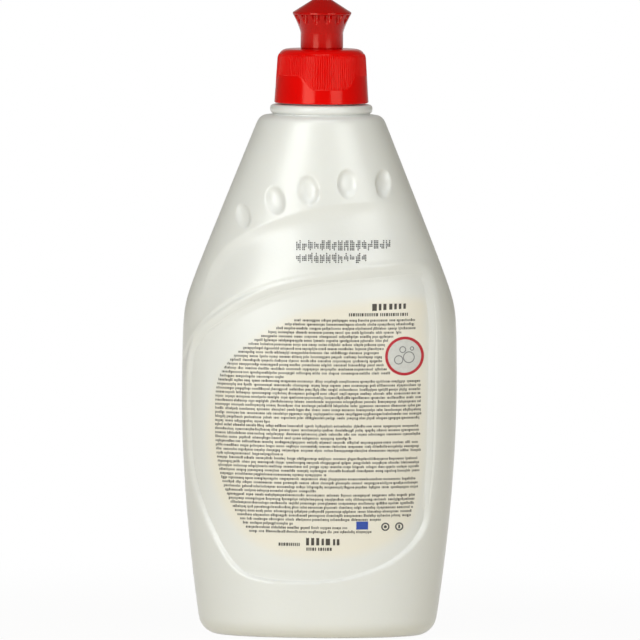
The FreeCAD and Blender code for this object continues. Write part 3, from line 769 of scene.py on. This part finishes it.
def label_mesh(settings, thickness):
    """The film as a closed skin: its back from the middle out, its edge, and its front."""
    outline = label_outline()
    shares = np.concatenate([np.linspace(0.03, 0.95, 34), [0.975, 0.99, 1.0]])
    rings = [on_face(outline, share, settings, -FILM_SINK) for share in shares[::4]]
    rings += [on_face(outline, share, settings, thickness) for share in shares[::-1]]
    poles = [on_face(outline, 0.0, settings, lift)[0] for lift in (-FILM_SINK, thickness)]
    return ring_mesh(rings, poles=poles)


def patch(outline, settings, lift=PRINT_LIFT):
    """A printed patch on the label's face: a thin closed skin over an outline."""
    rings = [on_face(outline, 1.0, settings, PRINT_FOOT)]
    rings += [on_face(outline, share, settings, lift) for share in (1.0, 0.75, 0.5, 0.25)]
    poles = [on_face(outline, 0.0, settings, edge)[0] for edge in (PRINT_FOOT, lift)]
    return ring_mesh(rings, poles=poles)


def printed_ring(centre, outer, inner, settings, lift=PRINT_LIFT, count=32):
    """A printed ring on the label's face."""
    walk = [(outer, PRINT_FOOT), (outer, lift), ((outer + inner) / 2, lift), (inner, lift),
            (inner, PRINT_FOOT)]
    rings = [face_point(*disc_outline(centre, radius, count).T, settings, edge) for radius, edge in walk]
    return ring_mesh(rings, closed=True)


def disc_outline(centre, radius, count=36):
    turns = np.linspace(0, 2 * math.pi, count, endpoint=False)
    return np.asarray(centre) + np.stack([np.cos(turns), np.sin(turns)], axis=-1) * radius


def box_outline(left, right, foot, top):
    """A rectangle with points along its sides, so that it follows the face."""
    across = np.linspace(left, right, 8)
    return np.array([(x, foot) for x in across] + [(x, top) for x in across[::-1]])


def drawn_in(level, start, run, reach, curve):
    """How far an edge of the text block is drawn in at a level."""
    return reach * max((level - start) / run, 0.0) ** curve


def text_left(level):
    """The text block's left edge, which follows the label's curve."""
    return TEXT_LEFT + drawn_in(level, *LEFT_DRAWN_ABOVE) + drawn_in(level, *LEFT_DRAWN_BELOW)


def text_right(level):
    """The text block's right edge, which draws in at the foot and goes round the ring mark."""
    beside = level - RING_CENTRE[1]
    room = RING_OUTER + RING_ROOM
    edge = TEXT_RIGHT - drawn_in(level, *RIGHT_DRAWN_BELOW)
    if abs(beside) < room:
        return min(edge, RING_CENTRE[0] - math.sqrt(room ** 2 - beside ** 2))
    return edge


def text_marks(settings):
    """Short ticks in rows: a text block with nothing to read."""
    chance = random.Random(settings.seed)
    pitch = settings.row_pitch / MM
    marks = []
    starts_paragraph = True
    for row in range(int(round((TEXT_TOP - TEXT_FOOT) / pitch)) + 1):
        level = TEXT_TOP - row * pitch
        right = min(text_right(level), SHORT_LINES.get(row, LAST_LINES.get(row, TEXT_RIGHT)))
        x = text_left(level)
        bold_until = x + chance.uniform(8.0, 22.0) if starts_paragraph else x
        starts_paragraph = row in SHORT_LINES
        while x < right - WORD_LEAST:
            word_end = min(x + chance.uniform(1.6, 6.5), right)
            bold = TICK_BOLD if x < bold_until else 0.0
            marks += ticks(chance, (x, word_end), level, TICK_HEIGHT, bold, TICK_REACH)
            x = word_end + WORD_GAP
    return marks


def ticks(chance, span, level, tall, bold, reach):
    """A run of upright ticks across a span, as (x, z, length, height). A few reach further."""
    marks = []
    x = span[0]
    while x < span[1] - 0.3 * tall:
        wide = chance.choice((0.27, 0.27, 0.34, 0.55)) * tall + bold
        long = chance.choice((1.0, 1.0, 1.0, reach)) * tall
        lift = chance.choice((0.5, -0.5)) * (long - tall)
        marks.append((x + wide / 2, level + lift, wide, long))
        x += wide + 0.26 * tall
    return marks


def heading_marks(settings):
    """The larger printed ticks above and below the text block."""
    chance = random.Random(settings.seed + 2)
    marks = []
    for left, right, level, tall in HEADINGS:
        marks += ticks(chance, (left, right), level, tall, 0.08 * tall, 1.0)
    return marks


def code_dots(settings):
    """Two rows of small ticks made of dots, as (x, z), where the filler prints its marks."""
    chance = random.Random(settings.seed + 1)
    dots = []
    for foot, cells in CODE_ROWS:
        for cell in range(cells):
            for column in range(3):
                low = chance.randint(0, 2)
                high = chance.randint(3, 5)
                x = CODE_LEFT + cell * CELL_PITCH + column * DOT_PITCH[0]
                dots += [(x, foot + step * DOT_PITCH[1]) for step in range(low, high + 1)]
    return dots


def feed(tree, node, inputs):
    """Give each input a value, or a link from another node's output."""
    for key, given in inputs.items():
        if isinstance(given, bpy.types.NodeSocket):
            tree.links.new(given, node.inputs[key])
        else:
            node.inputs[key].default_value = given


def add_node(tree, kind, inputs=None, **settings):
    node = tree.nodes.new(kind)
    for key, setting in settings.items():
        setattr(node, key, setting)
    feed(tree, node, inputs or {})
    return node


def maths(tree, operation, first, second):
    return add_node(tree, "ShaderNodeMath", {0: first, 1: second}, operation=operation).outputs[0]


def new_tree(name, inputs):
    """A geometry node group with one geometry in, the named inputs, and one geometry out."""
    tree = bpy.data.node_groups.new(name, "GeometryNodeTree")
    for label, kind in [("Geometry", "NodeSocketGeometry"), *inputs]:
        tree.interface.new_socket(label, in_out="INPUT", socket_type=kind)
    tree.interface.new_socket("Geometry", in_out="OUTPUT", socket_type="NodeSocketGeometry")
    return tree, add_node(tree, "NodeGroupInput").outputs


def copy_onto(tree, points, piece, finish, places):
    """Put a piece on every point, make the copies real and send them out in their material."""
    shown = add_node(tree, "GeometryNodeObjectInfo", {"Object": piece})
    copies = add_node(tree, "GeometryNodeInstanceOnPoints",
                      {"Points": points, "Instance": shown.outputs["Geometry"], **places})
    real = add_node(tree, "GeometryNodeRealizeInstances", {"Geometry": copies.outputs["Instances"]})
    dressed = add_node(tree, "GeometryNodeSetMaterial",
                       {"Geometry": real.outputs["Geometry"], "Material": finish})
    add_node(tree, "NodeGroupOutput", {"Geometry": dressed.outputs["Geometry"]})


def round_array_tree():
    """Copies of one piece, spaced evenly about the Z axis."""
    tree, given = new_tree("copies_round_axis", [
        ("Piece", "NodeSocketObject"), ("Copies", "NodeSocketInt"), ("Finish", "NodeSocketMaterial")])
    points = add_node(tree, "GeometryNodePoints", {"Count": given["Copies"]})
    number = add_node(tree, "GeometryNodeInputIndex")
    share = maths(tree, "DIVIDE", number.outputs["Index"], given["Copies"])
    about = add_node(tree, "ShaderNodeCombineXYZ", {"Z": maths(tree, "MULTIPLY", share, 2 * math.pi)})
    copy_onto(tree, points.outputs[0], given["Piece"], given["Finish"], {"Rotation": about.outputs[0]})
    return tree


def marks_tree():
    """A mark on every point, turned and sized by the point's own attributes."""
    tree, given = new_tree("marks_on_points", [
        ("Mark", "NodeSocketObject"), ("Finish", "NodeSocketMaterial")])
    stored = {}
    for key, name in (("Rotation", "turn"), ("Scale", "reach")):
        attribute = add_node(tree, "GeometryNodeInputNamedAttribute", {"Name": name},
                             data_type="FLOAT_VECTOR")
        stored[key] = attribute.outputs["Attribute"]
    copy_onto(tree, given["Geometry"], given["Mark"], given["Finish"], stored)
    return tree


def grown(piece, tree, choices):
    """Run a tree on a piece, keep the result as its plain mesh and take the modifier away."""
    modifier = piece.modifiers.new("grow", "NODES")
    modifier.node_group = tree
    for item in tree.interface.items_tree:
        if item.item_type == "SOCKET" and item.in_out == "INPUT" and item.name in choices:
            modifier[item.identifier] = choices[item.name]
    graph = bpy.context.evaluated_depsgraph_get()
    mesh = bpy.data.meshes.new_from_object(piece.evaluated_get(graph))
    piece.modifiers.remove(modifier)
    piece.data = mesh
    return piece


def drop(piece):
    """Take a pattern piece away once its copies are made."""
    bpy.data.objects.remove(piece, do_unlink=True)


def join(pieces, name):
    """Several objects as one, under the first one's place."""
    for other in bpy.context.selected_objects:
        other.select_set(False)
    for piece in pieces:
        piece.select_set(True)
    bpy.context.view_layer.objects.active = pieces[0]
    bpy.ops.object.join()
    joined = bpy.context.view_layer.objects.active
    joined.name = name
    return joined


def marks_on_face(name, marks, settings, pattern, material, thickness):
    """Marks laid on the pressed face: (x, z, length, height) each, as one mesh."""
    x, z, long, tall = np.array(marks, float).T
    step = 0.3
    across = face_point(x + step, z, settings) - face_point(x - step, z, settings)
    upward = face_point(x, z + step, settings) - face_point(x, z - step, settings)
    about_z = np.arctan2(across[:, 1], across[:, 0])
    about_x = np.arctan2(upward[:, 1] * np.cos(about_z), upward[:, 2])
    turn = np.stack([about_x, 0 * x, about_z], axis=-1)
    reach = np.stack([long, 0 * x + thickness, tall], axis=-1) * MM
    mesh = bpy.data.meshes.new(name)
    mesh.from_pydata((face_point(x, z, settings, lift=0.1) * MM).tolist(), [], [])
    for key, values in (("turn", turn), ("reach", reach)):
        mesh.attributes.new(key, "FLOAT_VECTOR", "POINT").data.foreach_set("vector", values.ravel())
    piece = bpy.data.objects.new(name, mesh)
    bpy.context.scene.collection.objects.link(piece)
    return grown(piece, marks_tree(), {"Mark": pattern, "Finish": material})


def shader(name, colour, roughness, inputs=None):
    """A material, its node tree and its main shader, with the values that are the same all over."""
    material = bpy.data.materials.new(name)
    material.use_nodes = True
    material.diffuse_color = (*colour, 1.0)
    tree = material.node_tree
    main = tree.nodes["Principled BSDF"]
    feed(tree, main, {"Base Color": (*colour, 1.0), "Roughness": roughness, **(inputs or {})})
    return material, tree, main


def grain(tree, scale, detail):
    """Noise in the piece's own coordinates."""
    place = add_node(tree, "ShaderNodeTexCoord")
    noise = add_node(tree, "ShaderNodeTexNoise",
                     {"Scale": scale, "Detail": detail, "Vector": place.outputs["Object"]})
    return noise.outputs["Fac"]


def vary_colour(tree, main, noise, low, high):
    ramp = add_node(tree, "ShaderNodeValToRGB", {"Fac": noise})
    for element, position, tone in zip(ramp.color_ramp.elements, NOISE_RANGE, (low, high)):
        element.position = position
        element.color = (*tone, 1.0)
    feed(tree, main, {"Base Color": ramp.outputs["Color"]})


def vary_roughness(tree, main, noise, low, high):
    spread = add_node(tree, "ShaderNodeMapRange", {
        "Value": noise, "From Min": NOISE_RANGE[0], "From Max": NOISE_RANGE[1], "To Min": low,
        "To Max": high})
    feed(tree, main, {"Roughness": spread.outputs["Result"]})


def fine_bump(tree, main, noise, strength, distance):
    bump = add_node(tree, "ShaderNodeBump", {"Strength": strength, "Distance": distance, "Height": noise})
    feed(tree, main, {"Normal": bump.outputs["Normal"]})


def tinted(colour, factor):
    return tuple(min(1.0, part * factor) for part in colour)


def pearl_plastic(finish):
    """Pearl polyethylene: soft sheen, slow cloudy tone, and the faint pull of the mould."""
    colour = tuple(finish.pearl_colour)
    material, tree, main = shader("pearl_plastic", colour, 0.34, {
        "Coat Weight": 0.2, "Coat Roughness": 0.16, "Subsurface Weight": 0.12, "Metallic": 0.04,
        "Specular IOR Level": 0.55, **SUBSURFACE})
    vary_colour(tree, main, grain(tree, 22.0, 2.0), tinted(colour, 0.97), tinted(colour, 1.03))
    vary_roughness(tree, main, grain(tree, 60.0, 4.0), 0.31, 0.41)
    fine_bump(tree, main, grain(tree, 900.0, 2.0), 0.12, 0.0002)
    return material


def red_plastic(name, colour):
    """Glossy moulded plastic with a faint flow pattern and a fine skin."""
    material, tree, main = shader(name, colour, 0.14, {
        "Specular IOR Level": 0.4, "Specular Tint": (1.0, 0.48, 0.36, 1.0)})
    vary_colour(tree, main, grain(tree, 90.0, 2.0), tinted(colour, 0.94), tinted(colour, 1.05))
    vary_roughness(tree, main, grain(tree, 240.0, 4.0), 0.11, 0.19)
    fine_bump(tree, main, grain(tree, 1500.0, 2.0), 0.08, 0.0001)
    return material


def label_film(finish):
    """Satin film: cream where printed; at its clear edge the pearl under it is painted lighter, as painted
    light.
    """
    pearl = tuple(finish.pearl_colour)
    material, tree, main = shader("label_film", pearl, 0.42, {
        "Coat Weight": 0.1, "Coat Roughness": 0.2, "Subsurface Weight": 0.1, **SUBSURFACE})
    printed = add_node(tree, "ShaderNodeAttribute", attribute_name="cream")
    spread = add_node(tree, "ShaderNodeMapRange", {
        "Value": grain(tree, 35.0, 3.0), "To Min": 0.85, "To Max": 1.0})
    # The film's ground is the pearl painted a tenth lighter: painted light that stands in for the
    # softboxes' light on the labelled face.
    blend = add_node(tree, "ShaderNodeMix", {
        "Factor": maths(tree, "MULTIPLY", printed.outputs["Fac"], spread.outputs["Result"]),
        "A": (*tinted(pearl, 1.10), 1.0), "B": (*finish.cream_colour, 1.0)}, data_type="RGBA")
    feed(tree, main, {"Base Color": blend.outputs["Result"]})
    vary_roughness(tree, main, grain(tree, 80.0, 3.0), 0.26, 0.36)
    fine_bump(tree, main, grain(tree, 1200.0, 2.0), 0.05, 0.0001)
    return material


def ink(name, colour):
    """Printing ink: slightly uneven in tone, flat in gloss."""
    material, tree, main = shader(name, colour, 0.5)
    vary_colour(tree, main, grain(tree, 900.0, 3.0), tinted(colour, 0.9), tinted(colour, 1.1))
    return material


def washer_foam():
    """Closed-cell foam: matt, with small pores."""
    material, tree, main = shader("washer_foam", FOAM_COLOUR, 0.85)
    cells = grain(tree, 2600.0, 2.0)
    vary_colour(tree, main, cells, tinted(FOAM_COLOUR, 0.9), FOAM_COLOUR)
    fine_bump(tree, main, cells, 0.5, 0.0003)
    return material


def length(name, description, millimetres):
    return bpy.props.FloatProperty(
        name=name, description=description, default=millimetres * MM, unit="LENGTH", precision=5)


def angle(name, description, degrees):
    return bpy.props.FloatProperty(
        name=name, description=description, default=math.radians(degrees), subtype="ANGLE")


def power(name, description, watts):
    return bpy.props.FloatProperty(name=name, description=description, default=watts, unit="POWER")


def count(name, description, number):
    return bpy.props.IntProperty(name=name, description=description, default=number)


def tint(name, description, *colour):
    return bpy.props.FloatVectorProperty(
        name=name, description=description, subtype="COLOR", size=3, default=colour)


class SoapBottleBody(bpy.types.PropertyGroup):
    """Sizes of the bottle's pressed faces."""
    panel_depth: length("Panel depth", "How deep the label panel is pressed in", 1.1)
    band_depth: length("Band depth", "How deep the swept band is under its upper crest", 1.2)
    dimple_depth: length("Dimple depth", "How deep the finger dimples are", 1.3)
    seam_height: length("Seam height", "How far the mould's parting line stands out", 0.06)
    label_thickness: length("Label thickness", "Thickness of the film label", 0.1)
    front_columns: count("Front columns", "Columns of the mesh on the labelled face", 186)
    back_columns: count("Back columns", "Columns of the mesh on the far face", 114)


class SoapBottleCap(bpy.types.PropertyGroup):
    """Counts and sizes of the closure and the spout."""
    rib_count: count("Grip ribs", "Ribs round the closure's skirt", 120)
    rib_radius: length("Rib radius", "Radius of a grip rib's rounded crest", 0.3)
    flute_count: count("Flutes", "Finger flutes under the spout's rim", 14)
    skirt_columns: count("Skirt columns", "Columns of the mesh round the skirt", 240)


class SoapBottlePrint(bpy.types.PropertyGroup):
    """The label's printing."""
    row_pitch: length("Row pitch", "Distance from one printed row to the next", 1.318)
    seed: count("Seed", "Starts the run of random mark lengths", 7)


class SoapBottleFinish(bpy.types.PropertyGroup):
    """Colours of the pieces."""
    pearl_colour: tint("Pearl", "The bottle's plastic", 0.866, 0.868, 0.842)
    cap_colour: tint("Cap red", "The closure's plastic", 0.82, 0.0006, 0.0006)
    spout_colour: tint("Spout red", "The spout's plastic", 0.53, 0.0004, 0.0006)
    cream_colour: tint("Cream", "The label's printed ground", 1.0, 0.94, 0.81)
    ink_colour: tint("Ink", "The label's dark print", 0.075, 0.065, 0.052)


class SoapBottleStudio(bpy.types.PropertyGroup):
    """Lights and camera."""
    softbox_power: power("Softbox power", "Power of the stronger softbox", 3.55)
    fill_power: power("Fill power", "Power of the fill above the camera", 2.1)
    room_level: bpy.props.FloatProperty(
        name="Room level", description="Strength of the even light from all round", default=0.18)
    room_colour: tint("Room colour", "Tint of the even light", 1.0, 0.94, 0.75)
    camera_height: angle("Camera elevation", "How far the camera looks down", 3.3)
    camera_roll: angle("Camera roll", "How far the camera leans about its own axis", 0.42)
    frame_width: length("Frame width", "Width of what the camera sees at the bottle", 207.8)


def dress(piece, body, slot, *nodes):
    """Tell the frame what a piece rides on and which nodes it stands for. Its finish, slot, is not used."""
    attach(piece, body)
    if nodes:
        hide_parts(*nodes)


class SOAPBOTTLE_OT_bottle(bpy.types.Operator):
    """Build the bottle with its pressed faces and threaded neck"""
    bl_idname = "soapbottle.bottle"
    bl_label = "Bottle"

    def execute(self, context):
        scene = context.scene
        points, faces = bottle_mesh(scene.soap_body)
        piece = new_object("bottle_wall", points, faces, pearl_plastic(scene.soap_finish))
        dress(piece, "bottle_body", "pearl_plastic", "bottle")
        return {"FINISHED"}


class SOAPBOTTLE_OT_label(bpy.types.Operator):
    """Lay the film label in the front panel"""
    bl_idname = "soapbottle.label"
    bl_label = "Label"

    def execute(self, context):
        scene = context.scene
        thickness = scene.soap_body.label_thickness / MM
        points, faces = label_mesh(scene.soap_body, thickness)
        piece = new_object("label_film_sheet", points, faces, label_film(scene.soap_finish))
        cream = piece.data.attributes.new("cream", "FLOAT", "POINT")
        outline = smooth_run(CREAM_OUTLINE, 6, closed=True)
        inside = inside_distance(points[:, 0], points[:, 2], outline)
        cream.data.foreach_set("value", smoothstep((inside - CREAM_STARTS) / CREAM_SPAN).astype(np.float32))
        dress(piece, "bottle_body", "label_film", "back_label")
        return {"FINISHED"}


class SOAPBOTTLE_OT_text_rows(bpy.types.Operator):
    """Print the rows of dark marks on the label"""
    bl_idname = "soapbottle.text_rows"
    bl_label = "Text rows"

    def execute(self, context):
        scene = context.scene
        dark = ink("label_ink", tuple(scene.soap_finish.ink_colour))
        pattern = new_object("mark_pattern", *bar_mesh((-UNIT_HALF,) * 3, (UNIT_HALF,) * 3), dark)
        marks = text_marks(scene.soap_print) + heading_marks(scene.soap_print)
        piece = marks_on_face("label_text_rows", marks, scene.soap_body, pattern, dark, 0.12)
        drop(pattern)
        dress(piece, "bottle_body", "label_film")
        return {"FINISHED"}


class SOAPBOTTLE_OT_label_marks(bpy.types.Operator):
    """Print the ring with bubbles, the blue patch and the two small rings"""
    bl_idname = "soapbottle.label_marks"
    bl_label = "Label marks"

    def execute(self, context):
        settings = context.scene.soap_body
        centre = np.array(RING_CENTRE)
        bubbles = [printed_ring(centre + (across, up), radius, radius - BUBBLE_LINE, settings, lift=0.18)
                   for across, up, radius in BUBBLES]
        smalls = [printed_ring(place, *SMALL_RING_RADII, settings) for place in SMALL_RINGS]
        smalls.append(patch(disc_outline(SMALL_RINGS[0], 0.5, 16), settings))
        smalls.append(patch(box_outline(*SMALL_BAR), settings))
        prints = [
            ("ring_mark", printed_ring(centre, RING_OUTER, RING_INNER, settings, count=72),
             "ring_red", (0.55, 0.02, 0.035)),
            ("ring_field", patch(disc_outline(centre, RING_INNER + 0.05), settings, lift=0.14),
             "ring_pale", (0.72, 0.72, 0.70)),
            ("ring_bubbles", together(bubbles), "bubble_grey", (0.25, 0.25, 0.25)),
            ("blue_patch", patch(box_outline(*BLUE_PATCH), settings), "patch_blue", (0.03, 0.08, 0.42)),
            ("small_rings", together(smalls), "small_ring_dark", (0.09, 0.09, 0.085)),
        ]
        for name, mesh, ink_name, colour in prints:
            dress(new_object(name, *mesh, ink(ink_name, colour)), "bottle_body", "label_film")
        return {"FINISHED"}


class SOAPBOTTLE_OT_code_dots(bpy.types.Operator):
    """Print the filler's two rows of dotted ticks on the swept band"""
    bl_idname = "soapbottle.code_dots"
    bl_label = "Code dots"

    def execute(self, context):
        scene = context.scene
        dark = ink("code_ink", (0.07, 0.07, 0.075))
        points, faces = turned_mesh([(UNIT_HALF, -UNIT_HALF), (UNIT_HALF, UNIT_HALF)], 8,
                                    ((0, 0, -UNIT_HALF), (0, 0, UNIT_HALF)))
        pattern = new_object("dot_pattern", points[:, [0, 2, 1]] * (1, -1, 1), faces, dark)
        marks = [(x, z, DOT_SIZE, DOT_SIZE) for x, z in code_dots(scene.soap_print)]
        piece = marks_on_face("code_dots", marks, scene.soap_body, pattern, dark, 0.24)
        drop(pattern)
        dress(piece, "bottle_body", "pearl_plastic")
        return {"FINISHED"}


class SOAPBOTTLE_OT_washer(bpy.types.Operator):
    """Give the sealing washer its foam finish"""
    bl_idname = "soapbottle.washer"
    bl_label = "Washer"

    def execute(self, context):
        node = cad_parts["sealing_washer"]
        foam = washer_foam()
        for slot in node.material_slots:
            slot.material = foam
        return {"FINISHED"}


class SOAPBOTTLE_OT_closure(bpy.types.Operator):
    """Build the screw closure with its ribs, thread, chimney and plug stem"""
    bl_idname = "soapbottle.closure"
    bl_label = "Closure"

    def execute(self, context):
        scene = context.scene
        cap = scene.soap_cap
        red = red_plastic("cap_plastic", tuple(scene.soap_finish.cap_colour))
        shell = new_object("closure_shell", *closure_mesh(cap.skirt_columns), red)
        rib = new_object("rib_pattern", *rib_mesh(cap.rib_radius / MM), red)
        arm_foot = (STEM_RADIUS * 0.3, -SPIDER_WIDTH / 2, SPIDER_TOP - SPIDER_HEIGHT)
        arm_top = ((CHIMNEY_RADIUS + CHANNEL_RADIUS) / 2, SPIDER_WIDTH / 2, SPIDER_TOP)
        arm = new_object("arm_pattern", *bar_mesh(arm_foot, arm_top), red)
        tree = round_array_tree()
        parts = [shell]
        for name, pattern, copies in (("grip_ribs", rib, cap.rib_count), ("spider_arms", arm, 3)):
            carrier = new_object(name, *bar_mesh((0, 0, 0), (1, 1, 1)), red)
            parts.append(grown(carrier, tree, {"Piece": pattern, "Copies": copies, "Finish": red}))
            drop(pattern)
        piece = join(parts, "screw_closure")
        dress(piece, "cap", "cap_plastic", "closure")
        return {"FINISHED"}


class SOAPBOTTLE_OT_spout(bpy.types.Operator):
    """Build the push-pull spout with its finger flutes"""
    bl_idname = "soapbottle.spout"
    bl_label = "Spout"

    def execute(self, context):
        scene = context.scene
        red = red_plastic("spout_plastic", tuple(scene.soap_finish.spout_colour))
        points, faces = spout_mesh(scene.soap_cap.flute_count)
        piece = new_object("pull_spout", points, faces, red, smooth_angle=35.0)
        dress(piece, "nozzle", "spout_plastic", "spout")
        return {"FINISHED"}


def aim(thing, place):
    """Stand a camera or lamp at a place, looking at the target."""
    thing.location = place
    direction = np.asarray(TARGET) - np.asarray(place)
    flat = math.hypot(direction[0], direction[1])
    thing.rotation_euler = (math.atan2(flat, -direction[2]), 0.0,
                            math.atan2(direction[1], direction[0]) - math.pi / 2)


def add_softbox(name, azimuth, elevation, distance, wide, tall, watts):
    """An area lamp that looks at the target. Angles are in degrees and sizes in metres."""
    lamp = bpy.data.lights.new(name, "AREA")
    lamp.shape = "RECTANGLE"
    lamp.size = wide
    lamp.size_y = tall
    lamp.energy = watts
    lamp.color = (0.95, 0.985, 1.0)
    holder = bpy.data.objects.new(name, lamp)
    bpy.context.scene.collection.objects.link(holder)
    azimuth = math.radians(azimuth)
    elevation = math.radians(elevation)
    flat = distance * math.cos(elevation)
    aim(holder, (TARGET[0] + flat * math.sin(azimuth), TARGET[1] - flat * math.cos(azimuth),
                 TARGET[2] + distance * math.sin(elevation)))


def seen_directly(tree, reflected=1.0):
    """One where the camera looks, and nought for light. Reflections and clear pieces see what
    the camera sees, or as much of it as reflected gives."""
    path = add_node(tree, "ShaderNodeLightPath").outputs
    bounced = maths(tree, "MAXIMUM", path["Is Glossy Ray"], path["Is Transmission Ray"])
    return maths(tree, "MAXIMUM", path["Is Camera Ray"], maths(tree, "MULTIPLY", bounced, reflected))


def make_room(level, colour):
    """Even light from all round. The camera sees it as white, and so does a reflection that
    looks behind the bottle, where the backdrop is."""
    world = bpy.data.worlds.new("room")
    bpy.context.scene.world = world
    world.use_nodes = True
    tree = world.node_tree
    tree.nodes.clear()
    light = add_node(tree, "ShaderNodeBackground", {"Color": (*colour, 1.0), "Strength": level})
    white = add_node(tree, "ShaderNodeBackground", {"Color": WHITE, "Strength": 1.0})
    way = add_node(tree, "ShaderNodeTexCoord")
    parts = add_node(tree, "ShaderNodeSeparateXYZ", {0: way.outputs["Generated"]})
    behind = add_node(tree, "ShaderNodeMapRange", {
        "Value": parts.outputs["Y"], "From Min": 0.8, "From Max": 0.99, "To Max": 0.4},
        interpolation_type="SMOOTHSTEP")
    choose = add_node(tree, "ShaderNodeMixShader", {
        "Fac": seen_directly(tree, behind.outputs["Result"]), 1: light.outputs[0], 2: white.outputs[0]})
    add_node(tree, "ShaderNodeOutputWorld", {"Surface": choose.outputs[0]})


def make_floor():
    """A wide pale floor that keeps a soft shadow."""
    corners = [(FLOOR_REACH * x, FLOOR_REACH * y, 0) for x, y in ((-1, -1), (1, -1), (1, 1), (-1, 1))]
    material, tree, main = shader("floor", FLOOR_COLOUR, 0.7)
    glow = add_node(tree, "ShaderNodeEmission", {"Color": WHITE, "Strength": 1.0})
    place = add_node(tree, "ShaderNodeTexCoord")
    away = add_node(tree, "ShaderNodeVectorMath", {0: place.outputs["Object"]}, operation="LENGTH")
    spread = add_node(tree, "ShaderNodeMapRange", {
        "Value": away.outputs["Value"], "From Min": 0.08, "From Max": 0.35, "To Min": 0.96,
        "To Max": 1.0}, interpolation_type="SMOOTHSTEP")
    choose = add_node(tree, "ShaderNodeMixShader", {
        "Fac": maths(tree, "MULTIPLY", seen_directly(tree), spread.outputs["Result"]),
        1: main.outputs[0], 2: glow.outputs[0]})
    feed(tree, tree.nodes["Material Output"], {"Surface": choose.outputs[0]})
    floor = new_object("floor", corners, [(0, 1, 2, 3)], material)


class SOAPBOTTLE_OT_studio(bpy.types.Operator):
    """Set the floor, the lights and the camera"""
    bl_idname = "soapbottle.studio"
    bl_label = "Studio"

    def execute(self, context):
        scene = context.scene
        studio = scene.soap_studio
        scene.view_settings.view_transform = "Standard"
        make_room(studio.room_level, tuple(studio.room_colour))
        make_floor()
        for name, *place_and_size, share in SOFTBOXES:
            add_softbox(name, *place_and_size, studio.softbox_power * share)
        add_softbox(*FRONT_FILL, studio.fill_power)
        lens = bpy.data.cameras.new("view")
        lens.lens = CAMERA_LENS
        lens.sensor_width = CAMERA_SENSOR
        camera = bpy.data.objects.new("view", lens)
        scene.collection.objects.link(camera)
        distance = studio.frame_width * lens.lens / lens.sensor_width
        rise = distance * math.sin(studio.camera_height)
        aim(camera, (TARGET[0], -distance * math.cos(studio.camera_height), TARGET[2] + rise))
        roll = Matrix.Rotation(studio.camera_roll, 3, "Z")
        camera.rotation_euler = (camera.rotation_euler.to_matrix() @ roll).to_euler()
        scene.camera = camera
        return {"FINISHED"}


class SOAPBOTTLE_PT_pieces(bpy.types.Panel):
    """Pieces and settings of the dish soap bottle"""
    bl_label = "Soap bottle"
    bl_idname = "SOAPBOTTLE_PT_pieces"
    bl_space_type = "VIEW_3D"
    bl_region_type = "UI"
    bl_category = "Soap bottle"

    def draw(self, context):
        for name, group in SETTINGS.items():
            box = self.layout.box()
            for key in group.__annotations__:
                box.prop(getattr(context.scene, name), key)
        for operator in OPERATORS:
            self.layout.operator(operator.bl_idname)


SETTINGS = {
    "soap_body": SoapBottleBody,
    "soap_cap": SoapBottleCap,
    "soap_print": SoapBottlePrint,
    "soap_finish": SoapBottleFinish,
    "soap_studio": SoapBottleStudio,
}

OPERATORS = [
    SOAPBOTTLE_OT_studio, SOAPBOTTLE_OT_bottle, SOAPBOTTLE_OT_label, SOAPBOTTLE_OT_text_rows,
    SOAPBOTTLE_OT_label_marks, SOAPBOTTLE_OT_code_dots, SOAPBOTTLE_OT_washer,
    SOAPBOTTLE_OT_closure, SOAPBOTTLE_OT_spout,
]

CLASSES = [*SETTINGS.values(), *OPERATORS, SOAPBOTTLE_PT_pieces]


def register():
    for item in CLASSES:
        bpy.utils.register_class(item)
    for name, group in SETTINGS.items():
        setattr(bpy.types.Scene, name, bpy.props.PointerProperty(type=group))


def unregister():
    for name in SETTINGS:
        delattr(bpy.types.Scene, name)
    for item in reversed(CLASSES):
        bpy.utils.unregister_class(item)


def main():
    register()
    bpy.ops.soapbottle.studio()
    bpy.ops.soapbottle.bottle()
    bpy.ops.soapbottle.label()
    bpy.ops.soapbottle.text_rows()
    bpy.ops.soapbottle.label_marks()
    bpy.ops.soapbottle.code_dots()
    bpy.ops.soapbottle.washer()
    bpy.ops.soapbottle.closure()
    bpy.ops.soapbottle.spout()
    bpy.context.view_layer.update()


if __name__ == "__main__":
    main()
